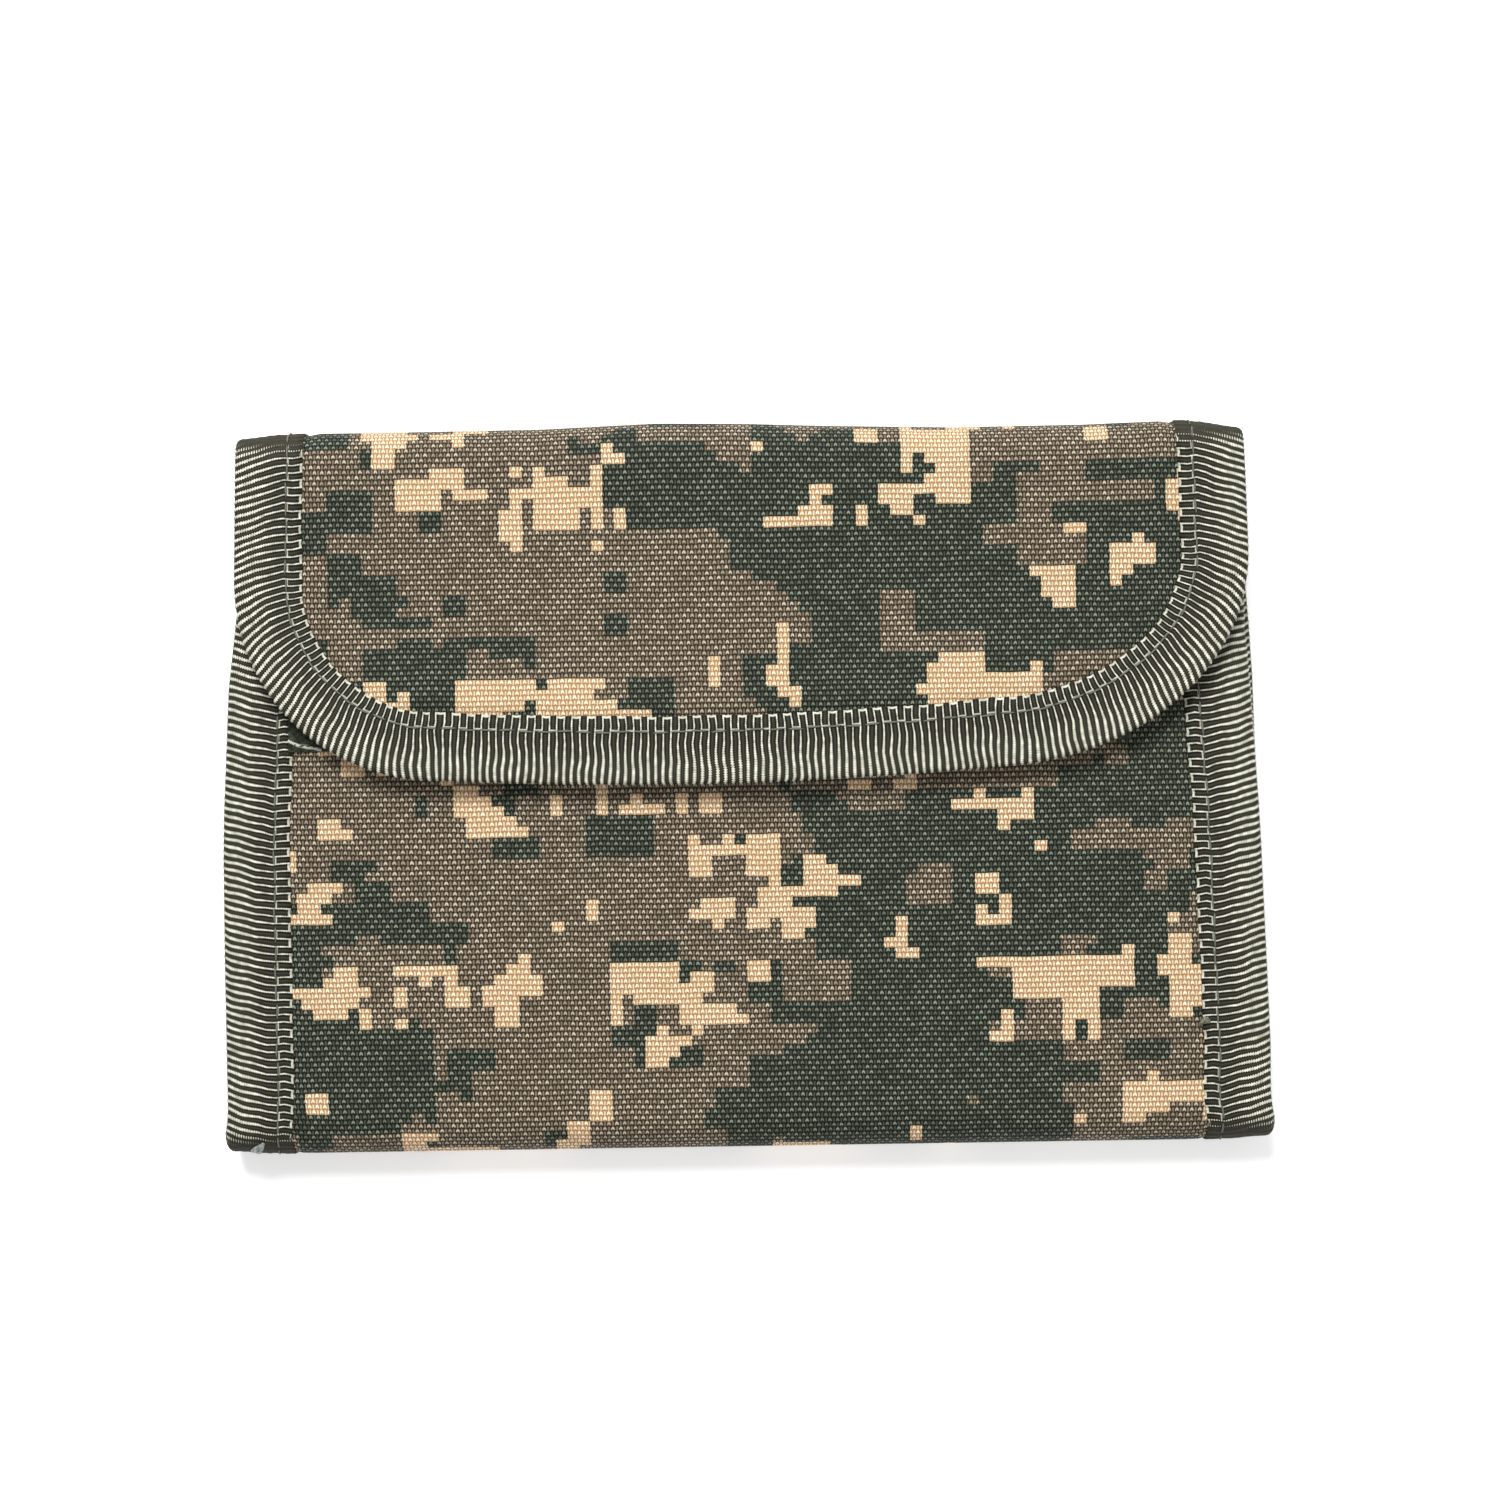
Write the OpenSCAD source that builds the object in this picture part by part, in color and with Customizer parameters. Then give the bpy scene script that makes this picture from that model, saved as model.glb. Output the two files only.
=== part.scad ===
// Trifold cloth wallet with bound edges, a hook-and-loop flap, card pockets and a zipped coin pocket.
// It lies on its back: +X runs along the fold lines, +Y towards the top fold, +Z out of the front.
// The origin is on the surface it lies on, under the middle of its box.

/* [Overall] */
// Width across the bottom fold
bottom_w = 146; // [144:0.5:150]
// Width across the top fold
top_w = 141; // [138:0.5:144]
// Height of the folded wallet, fold to fold
closed_h = 101.6; // [101:0.2:104]
// Height of the front panel's outer face above the table
front_t = 9.6; // [9.6:0.1:10.4]
// Overall thickness with the flap closed
total_t = 12.8; // [12.8:0.1:13.6]

/* [Panels] */
// Height at which the front panel's bound top edge ends
front_top = 40; // [38:0.5:42]
// Height at which the flap's bound lower edge ends
flap_low = 0.8; // [0:0.2:4]
// Width of the flap's rounded corners
corner_w = 31; // [26:1:34]
// Height of the flap's rounded corners
corner_h = 25; // [22:1:27]

/* [Cloth] */
// Thickness of the outer cloth
shell_t = 0.5; // [0.4:0.05:0.5]
// Thickness of the lining and pocket cloth
lining_t = 0.3; // [0.2:0.05:0.3]
// Thickness of the binding tape
tape_t = 0.4; // [0.3:0.05:0.4]
// Width of binding tape that shows on each face
tape_leg = 9.5; // [8:0.5:10]

/* [Pockets] */
// Height of the lower edge of the card pockets
card_low = -38.5; // [-39:0.5:-38]
// Height of the rear card pocket's mouth
card_top = 28; // [26:1:30]
// Step between the mouths of the card pockets
card_step = 12; // [10:1:13]
// Distance of the stitched divider to the right of the middle
divider_x = 30; // [28:1:34]

/* [Zipper] */
// Height of the zipper's line
zip_y = -42.5; // [-42.6:0.1:-42.4]
// Pitch of the coil's turns
coil_pitch = 2; // [1.6:0.2:3]
// Length of the pull tab
pull_len = 18; // [14:1:18]

/* [Hidden] */
eps = 1;                        // overshoot of a cutting body
clear = 0.2;                    // gap between a tape's edge and the raised cloth beside it
lap = 1.5;                      // step in the outer cloth where it dips under the tape
seam_w = 3;                     // width of a pocket's sewn edge
panel_end = closed_h / 2 - 2;   // where the flat panels stop, short of the folds
fold_skin = closed_h / 2;       // outer face of both folds
spine_gap = 1.2;                // distance of a fold's plate from the outer planes, past its hinge lines
front_in = 0.6;                 // how much narrower the front panel is, each side
side_top = front_top - tape_leg - clear;   // where the front's side bindings meet its top binding
panel_lap = 2;                  // how far the interlinings and pockets stop short of a fold
divider_w = 1.5;                // width of the sewn divider in the card pockets

stiff_t = 0.8;                  // interlining of the back and front
flap_stiff_t = 0.5;             // interlining of the flap
lining_z = shell_t + stiff_t;   // level of the lining in the back and front
lining_top = lining_z + lining_t;
bill_z = lining_top + 0.3;      // level of the bill compartment's sheet
card_z = [bill_z + 0.5, bill_z + 1.0, bill_z + 1.5];
back_t = card_z[2] + lining_t + tape_t;

zip_tape_z = 2.8;               // depth of the zipper tapes in the front panel
zip_tape_t = 0.3;
zip_sheet_z = zip_tape_z + zip_tape_t;
zip_edge = 3.2;                 // half the slot in the coin pocket's sheet
front_sheet_top = zip_sheet_z + lining_t;
front_depth = front_sheet_top + tape_t;
window_z = front_sheet_top + 0.2;
window_t = 0.25;
window_x = 46;
window_y = [-33, 27];
window_rim = 2;                 // width of the window's sewn edge
trim_w = 4.5;

flap_depth = shell_t + flap_stiff_t + lining_t;
hook_t = 0.9;
hook_z = total_t - flap_depth - hook_t;
loop_t = 0.8;
strip_y = [6, 30];              // heights of the loop strip
strip_in = 1;                   // its distance from the binding
hook_y = [13, 31];
hook_x = 48;

thread_w = 0.5;
thread_t = 0.2;
thread_in = 2;                  // distance of a seam from the tape's inner edge

zip_half_len = 64;              // half the length of the zipper's tapes
zip_tape_w = 5.5;               // half the width of the zipper
coil_in = 0.3;                  // from the zipper's line to its teeth,
coil_bar = 1.3;                 // to the bar that joins them,
coil_out = 2.0;                 // and to the bar's outer side
tooth_gap = 0.1;
coil_top = 4.3;
coil_x = [-50, 48];
slider_x = -44;                 // middle of the slider with the zipper closed
slider_half = 4;
slider_w = 3.0;
slider_r = 4.4;                 // roundness of the slider's ends
slider_back = 2.1;
slider_face = 5.0;
plate_t = 0.6;
stop_l = 1.4;
stop_w = 2.5;
stop_h = 0.4;
stop_x = [slider_x - slider_half - 2, 44.6];
wedge_x = [-3.6, -2.4];         // the post that parts the teeth
flange_x = 2.8;
ear_y = 1.3;
ear_top = 6.4;
wall_t = 0.3;                   // half the thickness of the slider's flanges and ears
pin_z = 5.9;
pin_r = 0.4;
eye_r = 0.85;
eye_bore_r = 0.45;
pull_w = 5;
pull_t = 0.6;
pull_neck = 0.6;
pull_hole_r = 1.1;
corner_steps = 12;

$fn = 48;

camo = "#6a6b58";
olive = "#3b3d30";
tape_tone = "#b9b8a8";
stiffener = "#d8d6cc";
thread_tone = "#8b9184";
dark = "#24261f";
metal = "#8d8f8c";

// Half the wallet's width at height y
function edge_x(y) = (bottom_w + (top_w - bottom_w) * (y / closed_h + 0.5)) / 2;

// Outline of the flap, inset all round, from its straight top edge to its rounded lower corners
function flap_right(inset) = [
    for (i = [0:corner_steps])
        let (turn = 90 * i / corner_steps, y_mid = flap_low + corner_h)
        [edge_x(y_mid) - corner_w + (corner_w - inset) * cos(turn),
         y_mid - (corner_h - inset) * sin(turn)]
];
function flap_outline(inset, y_top) = concat(
    [[edge_x(y_top) - inset, y_top]],
    flap_right(inset),
    [for (i = [corner_steps:-1:0]) let (p = flap_right(inset)[i]) [-p[0], p[1]]],
    [[-edge_x(y_top) + inset, y_top]]
);

// Sheet across the width between two heights, its sides inset from the wallet's edges
module sheet(y0, y1, inset, z0, z1)
    translate([0, 0, z0]) linear_extrude(z1 - z0)
        polygon([[-edge_x(y0) + inset, y0], [edge_x(y0) - inset, y0],
                 [edge_x(y1) - inset, y1], [-edge_x(y1) + inset, y1]]);

// Strip along the right-hand edge, between two insets from it
module edge_strip(y0, y1, near, far, z0, z1)
    translate([0, 0, z0]) linear_extrude(z1 - z0)
        polygon([[edge_x(y0) - far, y0], [edge_x(y0) - near, y0],
                 [edge_x(y1) - near, y1], [edge_x(y1) - far, y1]]);

module both_sides() {
    children();
    mirror([1, 0, 0]) children();
}

module block(x, y, z) translate([x[0], y[0], z[0]]) cube([x[1] - x[0], y[1] - y[0], z[1] - z[0]]);

// Places a panel that was built outer face down, so that its outer face is up at height z
module face_up(z) translate([0, 0, z]) mirror([0, 0, 1]) children();

// Outer cloth: a flat middle, and margins that dip under the binding tape
module shell_panel(y0, y1, inset, bound_top) {
    mid_top = bound_top ? y1 - tape_leg - clear : y1;
    hole_top = bound_top ? y1 - tape_leg - lap : y1 + eps;
    cloth_top = bound_top ? y1 - tape_t : y1;
    sheet(y0, mid_top, inset + tape_leg + clear, 0, shell_t);
    difference() {
        sheet(y0, cloth_top, inset + tape_t, tape_t, tape_t + shell_t);
        sheet(y0 - eps, hole_top, inset + tape_leg + lap, 0, tape_t + shell_t + eps);
    }
}

// Binding tape folded over a side edge, with a groove for its seam on both faces
module side_binding(y0, y1, inset, depth) {
    difference() {
        edge_strip(y0, y1, inset, inset + tape_leg, 0, depth);
        edge_strip(y0 - eps, y1 + eps, inset + tape_t, inset + tape_leg + eps, tape_t, depth - tape_t);
        side_seam(y0 - eps, y1 + eps, inset, depth);
    }
}

// The two lines of thread along one side binding, flush with its faces
module side_seam(y0, y1, inset, depth) {
    near = inset + tape_leg - thread_in - thread_w;
    edge_strip(y0, y1, near, near + thread_w, 0, thread_t);
    edge_strip(y0, y1, near, near + thread_w, depth - thread_t, depth);
}

// Pocket sheet sewn along its sides to what is under it. Its hollow spans the heights in hollow_y.
module pocket_sheet(y0, y1, inset, z_under, z, hollow_y) difference() {
    sheet(y0, y1, inset, z_under, z + lining_t);
    difference() {
        sheet(hollow_y[0], hollow_y[1], inset + seam_w, z_under - eps, z);
        children();
    }
}

module card_pocket(n) {
    z_under = n == 0 ? bill_z + lining_t : card_z[n - 1] + lining_t;
    y_top = card_top - n * card_step;
    color(olive) pocket_sheet(card_low, y_top, tape_t, z_under, card_z[n], [card_low + seam_w, y_top + eps])
        block([divider_x - divider_w / 2, divider_x + divider_w / 2], [card_low, y_top + 2 * eps],
              [0, back_t]);
}

// ---- Back panel ----
module back_shell() color(camo) shell_panel(-panel_end, panel_end, 0, false);

module back_interlining() color(stiffener)
    sheet(-panel_end + panel_lap, panel_end - panel_lap, tape_leg + lap + clear, shell_t, lining_z);

module back_lining() color(olive) sheet(-panel_end, panel_end, tape_t, lining_z, lining_top);

module bill_pocket() color(olive)
    pocket_sheet(-panel_end + panel_lap, panel_end - 2 * panel_lap, tape_t, lining_top, bill_z,
                 [-panel_end + panel_lap + seam_w, panel_end]);

module card_pocket_rear() card_pocket(0);
module card_pocket_middle() card_pocket(1);
module card_pocket_front() card_pocket(2);

module back_binding() color(tape_tone) side_binding(-panel_end, panel_end, 0, back_t);
module back_binding_right() back_binding();
module back_binding_left() mirror([1, 0, 0]) back_binding();

module back_stitching() color(thread_tone) both_sides() side_seam(-panel_end, panel_end, 0, back_t);

// ---- Folds: each is a plate that joins two panels, one hinge line along each of its edges ----
// Stands a strip that was built flat, outer face down, on edge as the plate of the bottom fold.
// Its own y runs from the lower hinge line to the upper one.
module stand_up() translate([0, -fold_skin, 0]) multmatrix(
    [[1, 0, 0, 0], [0, 0, 1, 0], [0, 1, 0, 0]]) children();

// Plate of cloth across a fold's height, inset from the wallet's edges
module fold_sheet(half_w, length, inset, z0, z1)
    block([-half_w + inset, half_w - inset], [spine_gap, length - spine_gap], [z0, z1]);

module fold_shell(half_w, length) {
    fold_sheet(half_w, length, tape_leg + clear, 0, shell_t);
    both_sides() block([half_w - tape_leg - lap, half_w - tape_t], [spine_gap, length - spine_gap],
                       [tape_t, tape_t + shell_t]);
}

module fold_lining(half_w, length)
    fold_sheet(half_w, length, tape_leg + lap + clear, shell_t, shell_t + lining_t);

module fold_binding(half_w, length) {
    depth = 2 * tape_t + shell_t;
    difference() {
        block([half_w - tape_leg, half_w], [spine_gap, length - spine_gap], [0, depth]);
        block([half_w - tape_leg - eps, half_w - tape_t], [0, length], [tape_t, depth - tape_t]);
    }
}

module bottom_fold_shell() color(camo) stand_up() fold_shell(bottom_w / 2, front_t);
module bottom_fold_lining() color(olive) stand_up() fold_lining(bottom_w / 2, front_t);
module bottom_fold_binding_right() color(tape_tone) stand_up() fold_binding(bottom_w / 2, front_t);
module bottom_fold_binding_left() mirror([1, 0, 0]) bottom_fold_binding_right();

module at_top() mirror([0, 1, 0]) stand_up() children();
module top_fold_shell() color(camo) at_top() fold_shell(top_w / 2, total_t);
module top_fold_lining() color(olive) at_top() fold_lining(top_w / 2, total_t);
module top_fold_binding_right() color(tape_tone) at_top() fold_binding(top_w / 2, total_t);
module top_fold_binding_left() mirror([1, 0, 0]) top_fold_binding_right();

// ---- Front panel, built outer face down and then turned over ----
module on_front() face_up(front_t) children();

module front_shell() color(camo) on_front() shell_panel(-panel_end, front_top, front_in, true);

module front_interlining() color(stiffener) on_front()
    sheet(-panel_end + panel_lap, front_top - tape_leg - lap - clear, front_in + tape_leg + lap + clear,
          shell_t, lining_z);

module front_lining() color(olive) on_front()
    sheet(-panel_end, front_top - tape_t, front_in + tape_t, lining_z, lining_top);

module coin_pocket_lower() color(olive) on_front()
    pocket_sheet(-panel_end, zip_y - zip_edge, front_in + tape_t, lining_top, zip_sheet_z,
                 [-panel_end - eps, zip_y]);

module coin_pocket_upper() color(olive) on_front()
    pocket_sheet(zip_y + zip_edge, front_top - tape_t, front_in + tape_t, lining_top, zip_sheet_z,
                 [zip_y, front_top - tape_t - seam_w]);

// One half of the zipper, on the upper side of its line
module zip_half(below) translate([0, zip_y, 0]) mirror([0, below ? 1 : 0, 0]) children();

module zipper_tape(below) color(dark) on_front() zip_half(below)
    block([-zip_half_len, zip_half_len], [coil_in, zip_tape_w], [zip_tape_z, zip_sheet_z]);
module zipper_tape_upper() zipper_tape(false);
module zipper_tape_lower() zipper_tape(true);

module zipper_coil(below) color(dark) on_front() zip_half(below) {
    block(coil_x, [coil_bar, coil_out], [zip_sheet_z, coil_top]);
    for (x = [coil_x[0] + (below ? 0 : coil_pitch / 2) : coil_pitch : coil_x[1] - coil_pitch])
        block([x, x + coil_pitch / 2 - tooth_gap], [coil_in, coil_bar + tooth_gap], [zip_sheet_z, coil_top]);
}
module zipper_coil_upper() zipper_coil(false);
module zipper_coil_lower() zipper_coil(true);

module zipper_stops() color(metal) on_front() {
    for (x = stop_x)
        block([x, x + stop_l], [zip_y - stop_w, zip_y + stop_w], [coil_top, coil_top + stop_h]);
}

module id_window() color("#c9d3d0", 0.5) on_front() difference() {
    block([-window_x, window_x], window_y, [front_sheet_top, window_z + window_t]);
    block([window_rim - window_x, window_x - window_rim], [window_y[0] - eps, window_y[1] - window_rim],
          [front_sheet_top - eps, window_z]);
}

module id_window_trim() color(tape_tone) on_front() difference() {
    z = window_z + window_t;
    block([-window_x, window_x], window_y, [z, z + tape_t]);
    block([-window_x + trim_w, window_x - trim_w], [window_y[0] + trim_w, window_y[1] - trim_w],
          [z - eps, z + tape_t + eps]);
}

module front_binding() color(tape_tone) on_front()
    side_binding(-panel_end, side_top, front_in, front_depth);
module front_binding_right() front_binding();
module front_binding_left() mirror([1, 0, 0]) front_binding();

// The two lines of thread along the front's top binding
module top_seam(overshoot) {
    y = front_top - tape_leg + thread_in;
    sheet(y, y + thread_w, front_in - overshoot, 0, thread_t);
    sheet(y, y + thread_w, front_in - overshoot, front_depth - thread_t, front_depth);
}

module front_binding_top() color(tape_tone) on_front() difference() {
    sheet(front_top - tape_leg, front_top, front_in, 0, front_depth);
    sheet(front_top - tape_leg - eps, front_top - tape_t, front_in - eps, tape_t, front_depth - tape_t);
    top_seam(eps);
}

module loop_strip() color(dark)
    sheet(strip_y[0], strip_y[1], front_in + tape_leg + strip_in, front_t, front_t + loop_t);

module front_stitching() color(thread_tone) on_front() {
    both_sides() side_seam(-panel_end, side_top, front_in, front_depth);
    top_seam(0);
}

// ---- Zipper slider and its pull ----
module on_zip_line() on_front() translate([slider_x, zip_y, 0]) children();

module slider_plate(z0, z1) translate([0, 0, z0]) linear_extrude(z1 - z0) intersection() {
    square([2 * slider_half, 2 * slider_w], center = true);
    circle(r = slider_r);
}

module zipper_slider() color(metal) on_zip_line() {
    under = slider_back + plate_t;
    over = coil_top + 0.1;
    slider_plate(slider_back, under);
    slider_plate(over, slider_face);
    block(wedge_x, [-wall_t / 2, wall_t / 2], [under - 0.1, over + 0.1]);
    for (side = [-1, 1]) {
        translate([0, side * (slider_w - wall_t), 0])
            block([-flange_x, flange_x], [-wall_t, wall_t], [zip_sheet_z + 0.2, over + 0.1]);
        translate([0, side * ear_y, 0]) block([-1, 1], [-wall_t, wall_t], [slider_face - 0.1, ear_top]);
    }
    pin_through(pin_r, 2 * ear_y - 0.4);
}

module pin_through(r, length)
    translate([0, 0, pin_z]) rotate([90, 0, 0]) cylinder(r = r, h = length, center = true);

module zipper_pull() color(metal) on_zip_line() difference() {
    tip_x = pull_len - 1.9;
    tab_x = pull_neck + eye_r + 0.75;
    union() {
        pin_through(eye_r, 1.6);
        block([pull_neck, pull_neck + 2.4], [-0.8, 0.8], [pin_z - pull_t / 2, pin_z + pull_t / 2]);
        translate([0, 0, pin_z - pull_t / 2]) linear_extrude(pull_t) difference() {
            union() {
                translate([tab_x, -pull_w / 2]) square([tip_x - tab_x, pull_w]);
                translate([tip_x, 0]) circle(d = pull_w);
            }
            translate([tip_x, 0]) circle(r = pull_hole_r);
        }
    }
    pin_through(eye_bore_r, 4);
}

// ---- Flap, built outer face down and then turned over ----
module on_flap() face_up(total_t) children();

module flap_sheet(inset, y_top, z0, z1)
    translate([0, 0, z0]) linear_extrude(z1 - z0) polygon(flap_outline(inset, y_top));

module flap_shell() color(camo) on_flap() {
    flap_sheet(tape_leg + clear, panel_end, 0, shell_t);
    difference() {
        flap_sheet(tape_t, panel_end, tape_t, tape_t + shell_t);
        flap_sheet(tape_leg + lap, panel_end + eps, 0, tape_t + shell_t + eps);
    }
}

module flap_interlining() color(stiffener) on_flap()
    flap_sheet(tape_leg + lap + clear, panel_end - panel_lap, shell_t, shell_t + flap_stiff_t);

module flap_lining() color(olive) on_flap()
    flap_sheet(tape_leg + clear, panel_end, shell_t + flap_stiff_t, flap_depth);

// The two lines of thread round the flap's binding
module flap_seam(y_top) {
    far = tape_leg - thread_in;
    for (z = [0, flap_depth - thread_t]) difference() {
        flap_sheet(far - thread_w, y_top, z, z + thread_t);
        flap_sheet(far, y_top + eps, z - eps, z + thread_t + eps);
    }
}

module flap_binding() color(tape_tone) on_flap() difference() {
    flap_sheet(0, panel_end, 0, flap_depth);
    flap_sheet(tape_leg, panel_end + eps, -eps, flap_depth + eps);
    flap_sheet(tape_t, panel_end + eps, tape_t, flap_depth - tape_t);
    flap_seam(panel_end + eps);
}

module flap_stitching() color(thread_tone) on_flap() flap_seam(panel_end);

module hook_strip() color(dark) block([-hook_x, hook_x], hook_y, [hook_z, hook_z + hook_t]);

back_shell();
back_interlining();
back_lining();
bill_pocket();
card_pocket_rear();
card_pocket_middle();
card_pocket_front();
back_binding_left();
back_binding_right();
back_stitching();
bottom_fold_shell();
bottom_fold_lining();
bottom_fold_binding_left();
bottom_fold_binding_right();
front_shell();
front_interlining();
front_lining();
coin_pocket_lower();
coin_pocket_upper();
zipper_tape_lower();
zipper_tape_upper();
zipper_coil_lower();
zipper_coil_upper();
zipper_stops();
id_window();
id_window_trim();
front_binding_left();
front_binding_right();
front_binding_top();
loop_strip();
front_stitching();
zipper_slider();
zipper_pull();
top_fold_shell();
top_fold_lining();
top_fold_binding_left();
top_fold_binding_right();
flap_shell();
flap_interlining();
flap_lining();
flap_binding();
hook_strip();
flap_stitching();
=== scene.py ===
"""Looks of the trifold cloth wallet: camouflage cloth, ribbed edge tape, lining, pockets, zipper, closure.

Shapes are worked out in millimetres. Each panel is first laid out flat, as (x, a), where a is the distance
along the cloth from the middle of the fold's spine; place() then bends that layout round the fold to where
the panel lies.
"""
import math
from functools import partial, partialmethod

import bmesh
import bpy
import numpy as np
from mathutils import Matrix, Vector


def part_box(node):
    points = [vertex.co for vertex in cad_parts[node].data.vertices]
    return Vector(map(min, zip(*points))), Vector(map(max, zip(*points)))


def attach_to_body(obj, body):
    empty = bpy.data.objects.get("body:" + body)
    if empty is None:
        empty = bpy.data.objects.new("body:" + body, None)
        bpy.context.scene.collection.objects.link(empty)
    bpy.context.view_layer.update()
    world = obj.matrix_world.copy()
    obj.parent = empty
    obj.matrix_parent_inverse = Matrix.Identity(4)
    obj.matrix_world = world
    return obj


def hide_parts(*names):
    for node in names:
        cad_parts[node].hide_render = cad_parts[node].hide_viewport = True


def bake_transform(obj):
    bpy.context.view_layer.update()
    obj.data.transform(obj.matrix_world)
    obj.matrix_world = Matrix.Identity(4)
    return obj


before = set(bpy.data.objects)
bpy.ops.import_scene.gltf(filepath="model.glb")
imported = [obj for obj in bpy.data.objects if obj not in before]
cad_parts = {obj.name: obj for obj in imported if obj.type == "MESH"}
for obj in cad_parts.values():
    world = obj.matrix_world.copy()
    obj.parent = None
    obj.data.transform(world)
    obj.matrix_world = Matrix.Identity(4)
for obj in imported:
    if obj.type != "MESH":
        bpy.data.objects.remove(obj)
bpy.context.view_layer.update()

MM = 0.001      # metres


# ---- sizes, read from the frame

def low(node):
    return np.array(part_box(node)[0]) / MM


def high(node):
    return np.array(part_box(node)[1]) / MM


BOTTOM_W = 2 * high("bottom_fold_binding_right")[0]
TOP_W = 2 * high("top_fold_binding_right")[0]
FOLD_Y = high("top_fold_shell")[1]
FRONT_T = high("front_shell")[2]
TOTAL_T = high("flap_binding")[2]
FRONT_TOP = high("front_binding_top")[1]
FLAP_LOW = low("flap_binding")[1]
LEG = FRONT_TOP - low("front_binding_top")[1]      # width of tape on each face
BACK_T = high("back_binding_left")[2]
FLAP_LINING_Z = TOTAL_T - high("flap_lining")[2]
COIL_PITCH = 84.0 / 65      # a whole number of turns in the slider's travel
FRONT_DEPTH = FRONT_T - low("front_binding_left")[2]
FRONT_IN = high("back_binding_right")[0] - high("front_binding_right")[0]
LINING_Z = low("back_lining")[2]

ROUND = 4.75            # radius of the cloth round each corner of a fold
CLOTH_T = 0.45          # outer cloth
LINING_T = 0.3
TAPE_T = 0.35
CLOTH_IN = 0.04         # how far the outer cloth lies inside the outer planes
RIB = 1.06              # pitch of the tape's ribs
RIB_STEPS = 8           # rings per rib
WARP, WEFT = 0.535, 0.74    # pitches of the outer cloth's threads
SEAM_IN = 2.1           # distance of a seam from the tape's inner edge
STRIP_T = 0.3           # base of the hook and loop strips
CORNER_DROOP = {1: 1.0, -1: 0.45}       # how far the top and bottom folds' ends pull in at the corners


def corners(node):
    """(x0, y0), (x1, y1) of a node's box."""
    return low(node)[:2], high(node)[:2]


def half_w(y):
    return (BOTTOM_W + (TOP_W - BOTTOM_W) * (y / (2 * FOLD_Y) + 0.5)) / 2


def smooth(x, start, end):
    t = np.clip((np.asarray(x, float) - start) / (end - start), 0, 1)
    return t * t * (3 - 2 * t)


def ripple(x, y, seed, size):
    """Soft unevenness from -1 to 1: a few sine waves of about that size, turned by the seed."""
    total = 0
    for k in range(4):
        turn = seed * 1.7 + k * 2.4
        wave = math.tau / (size * (0.7 + 0.35 * k))
        across = x * math.cos(turn) + y * math.sin(turn)
        total = total + np.sin(wave * across + seed * 3.1 + k) / (1 + 0.5 * k)
    return total / 2.4


def put(thing, **settings):
    """The thing, with those of its attributes set."""
    for name, value in settings.items():
        setattr(thing, name, value)
    return thing


# ---- node patterns

def feed(socket, value):
    """Links a wire or another socket to a socket, or sets it to a number or a 0 to 255 display colour."""
    if isinstance(value, Wire):
        value = value.socket
    if isinstance(value, bpy.types.NodeSocket):
        socket.id_data.links.new(value, socket)
    else:
        socket.default_value = linear(*value) if isinstance(value, tuple) else value


def add_node(tree, kind, inputs=None, **settings):
    """A new shader node, with its settings and its inputs."""
    node = put(tree.nodes.new("ShaderNode" + kind), **settings)
    for key, value in (inputs or {}).items():
        feed(node.inputs[key], value)
    return node


class Wire:
    """A value in a material's node tree. Sums of wires add the nodes that work them out."""

    def __init__(self, socket):
        self.socket = socket

    def math(self, operation, *others):
        inputs = dict(enumerate((self, *others)))
        return Wire(add_node(self.socket.id_data, "Math", inputs, operation=operation).outputs[0])

    __add__ = __radd__ = partialmethod(math, "ADD")
    __mul__ = __rmul__ = partialmethod(math, "MULTIPLY")
    __sub__ = partialmethod(math, "SUBTRACT")
    __truediv__ = partialmethod(math, "DIVIDE")
    sin = partialmethod(math, "SINE")
    abs = partialmethod(math, "ABSOLUTE")
    floor = partialmethod(math, "FLOOR")
    fract = partialmethod(math, "FRACT")
    above = partialmethod(math, "GREATER_THAN")
    power = partialmethod(math, "POWER")
    most = partialmethod(math, "MAXIMUM")

    def __rsub__(self, other):
        return self * -1.0 + other

    def ramp(self, start, end, to_start=0.0, to_end=1.0):
        """Smooth step from to_start to to_end as the value goes from start to end."""
        inputs = {"Value": self, "From Min": start, "From Max": end, "To Min": to_start, "To Max": to_end}
        node = add_node(self.socket.id_data, "MapRange", inputs, interpolation_type="SMOOTHSTEP")
        return Wire(node.outputs["Result"])


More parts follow.
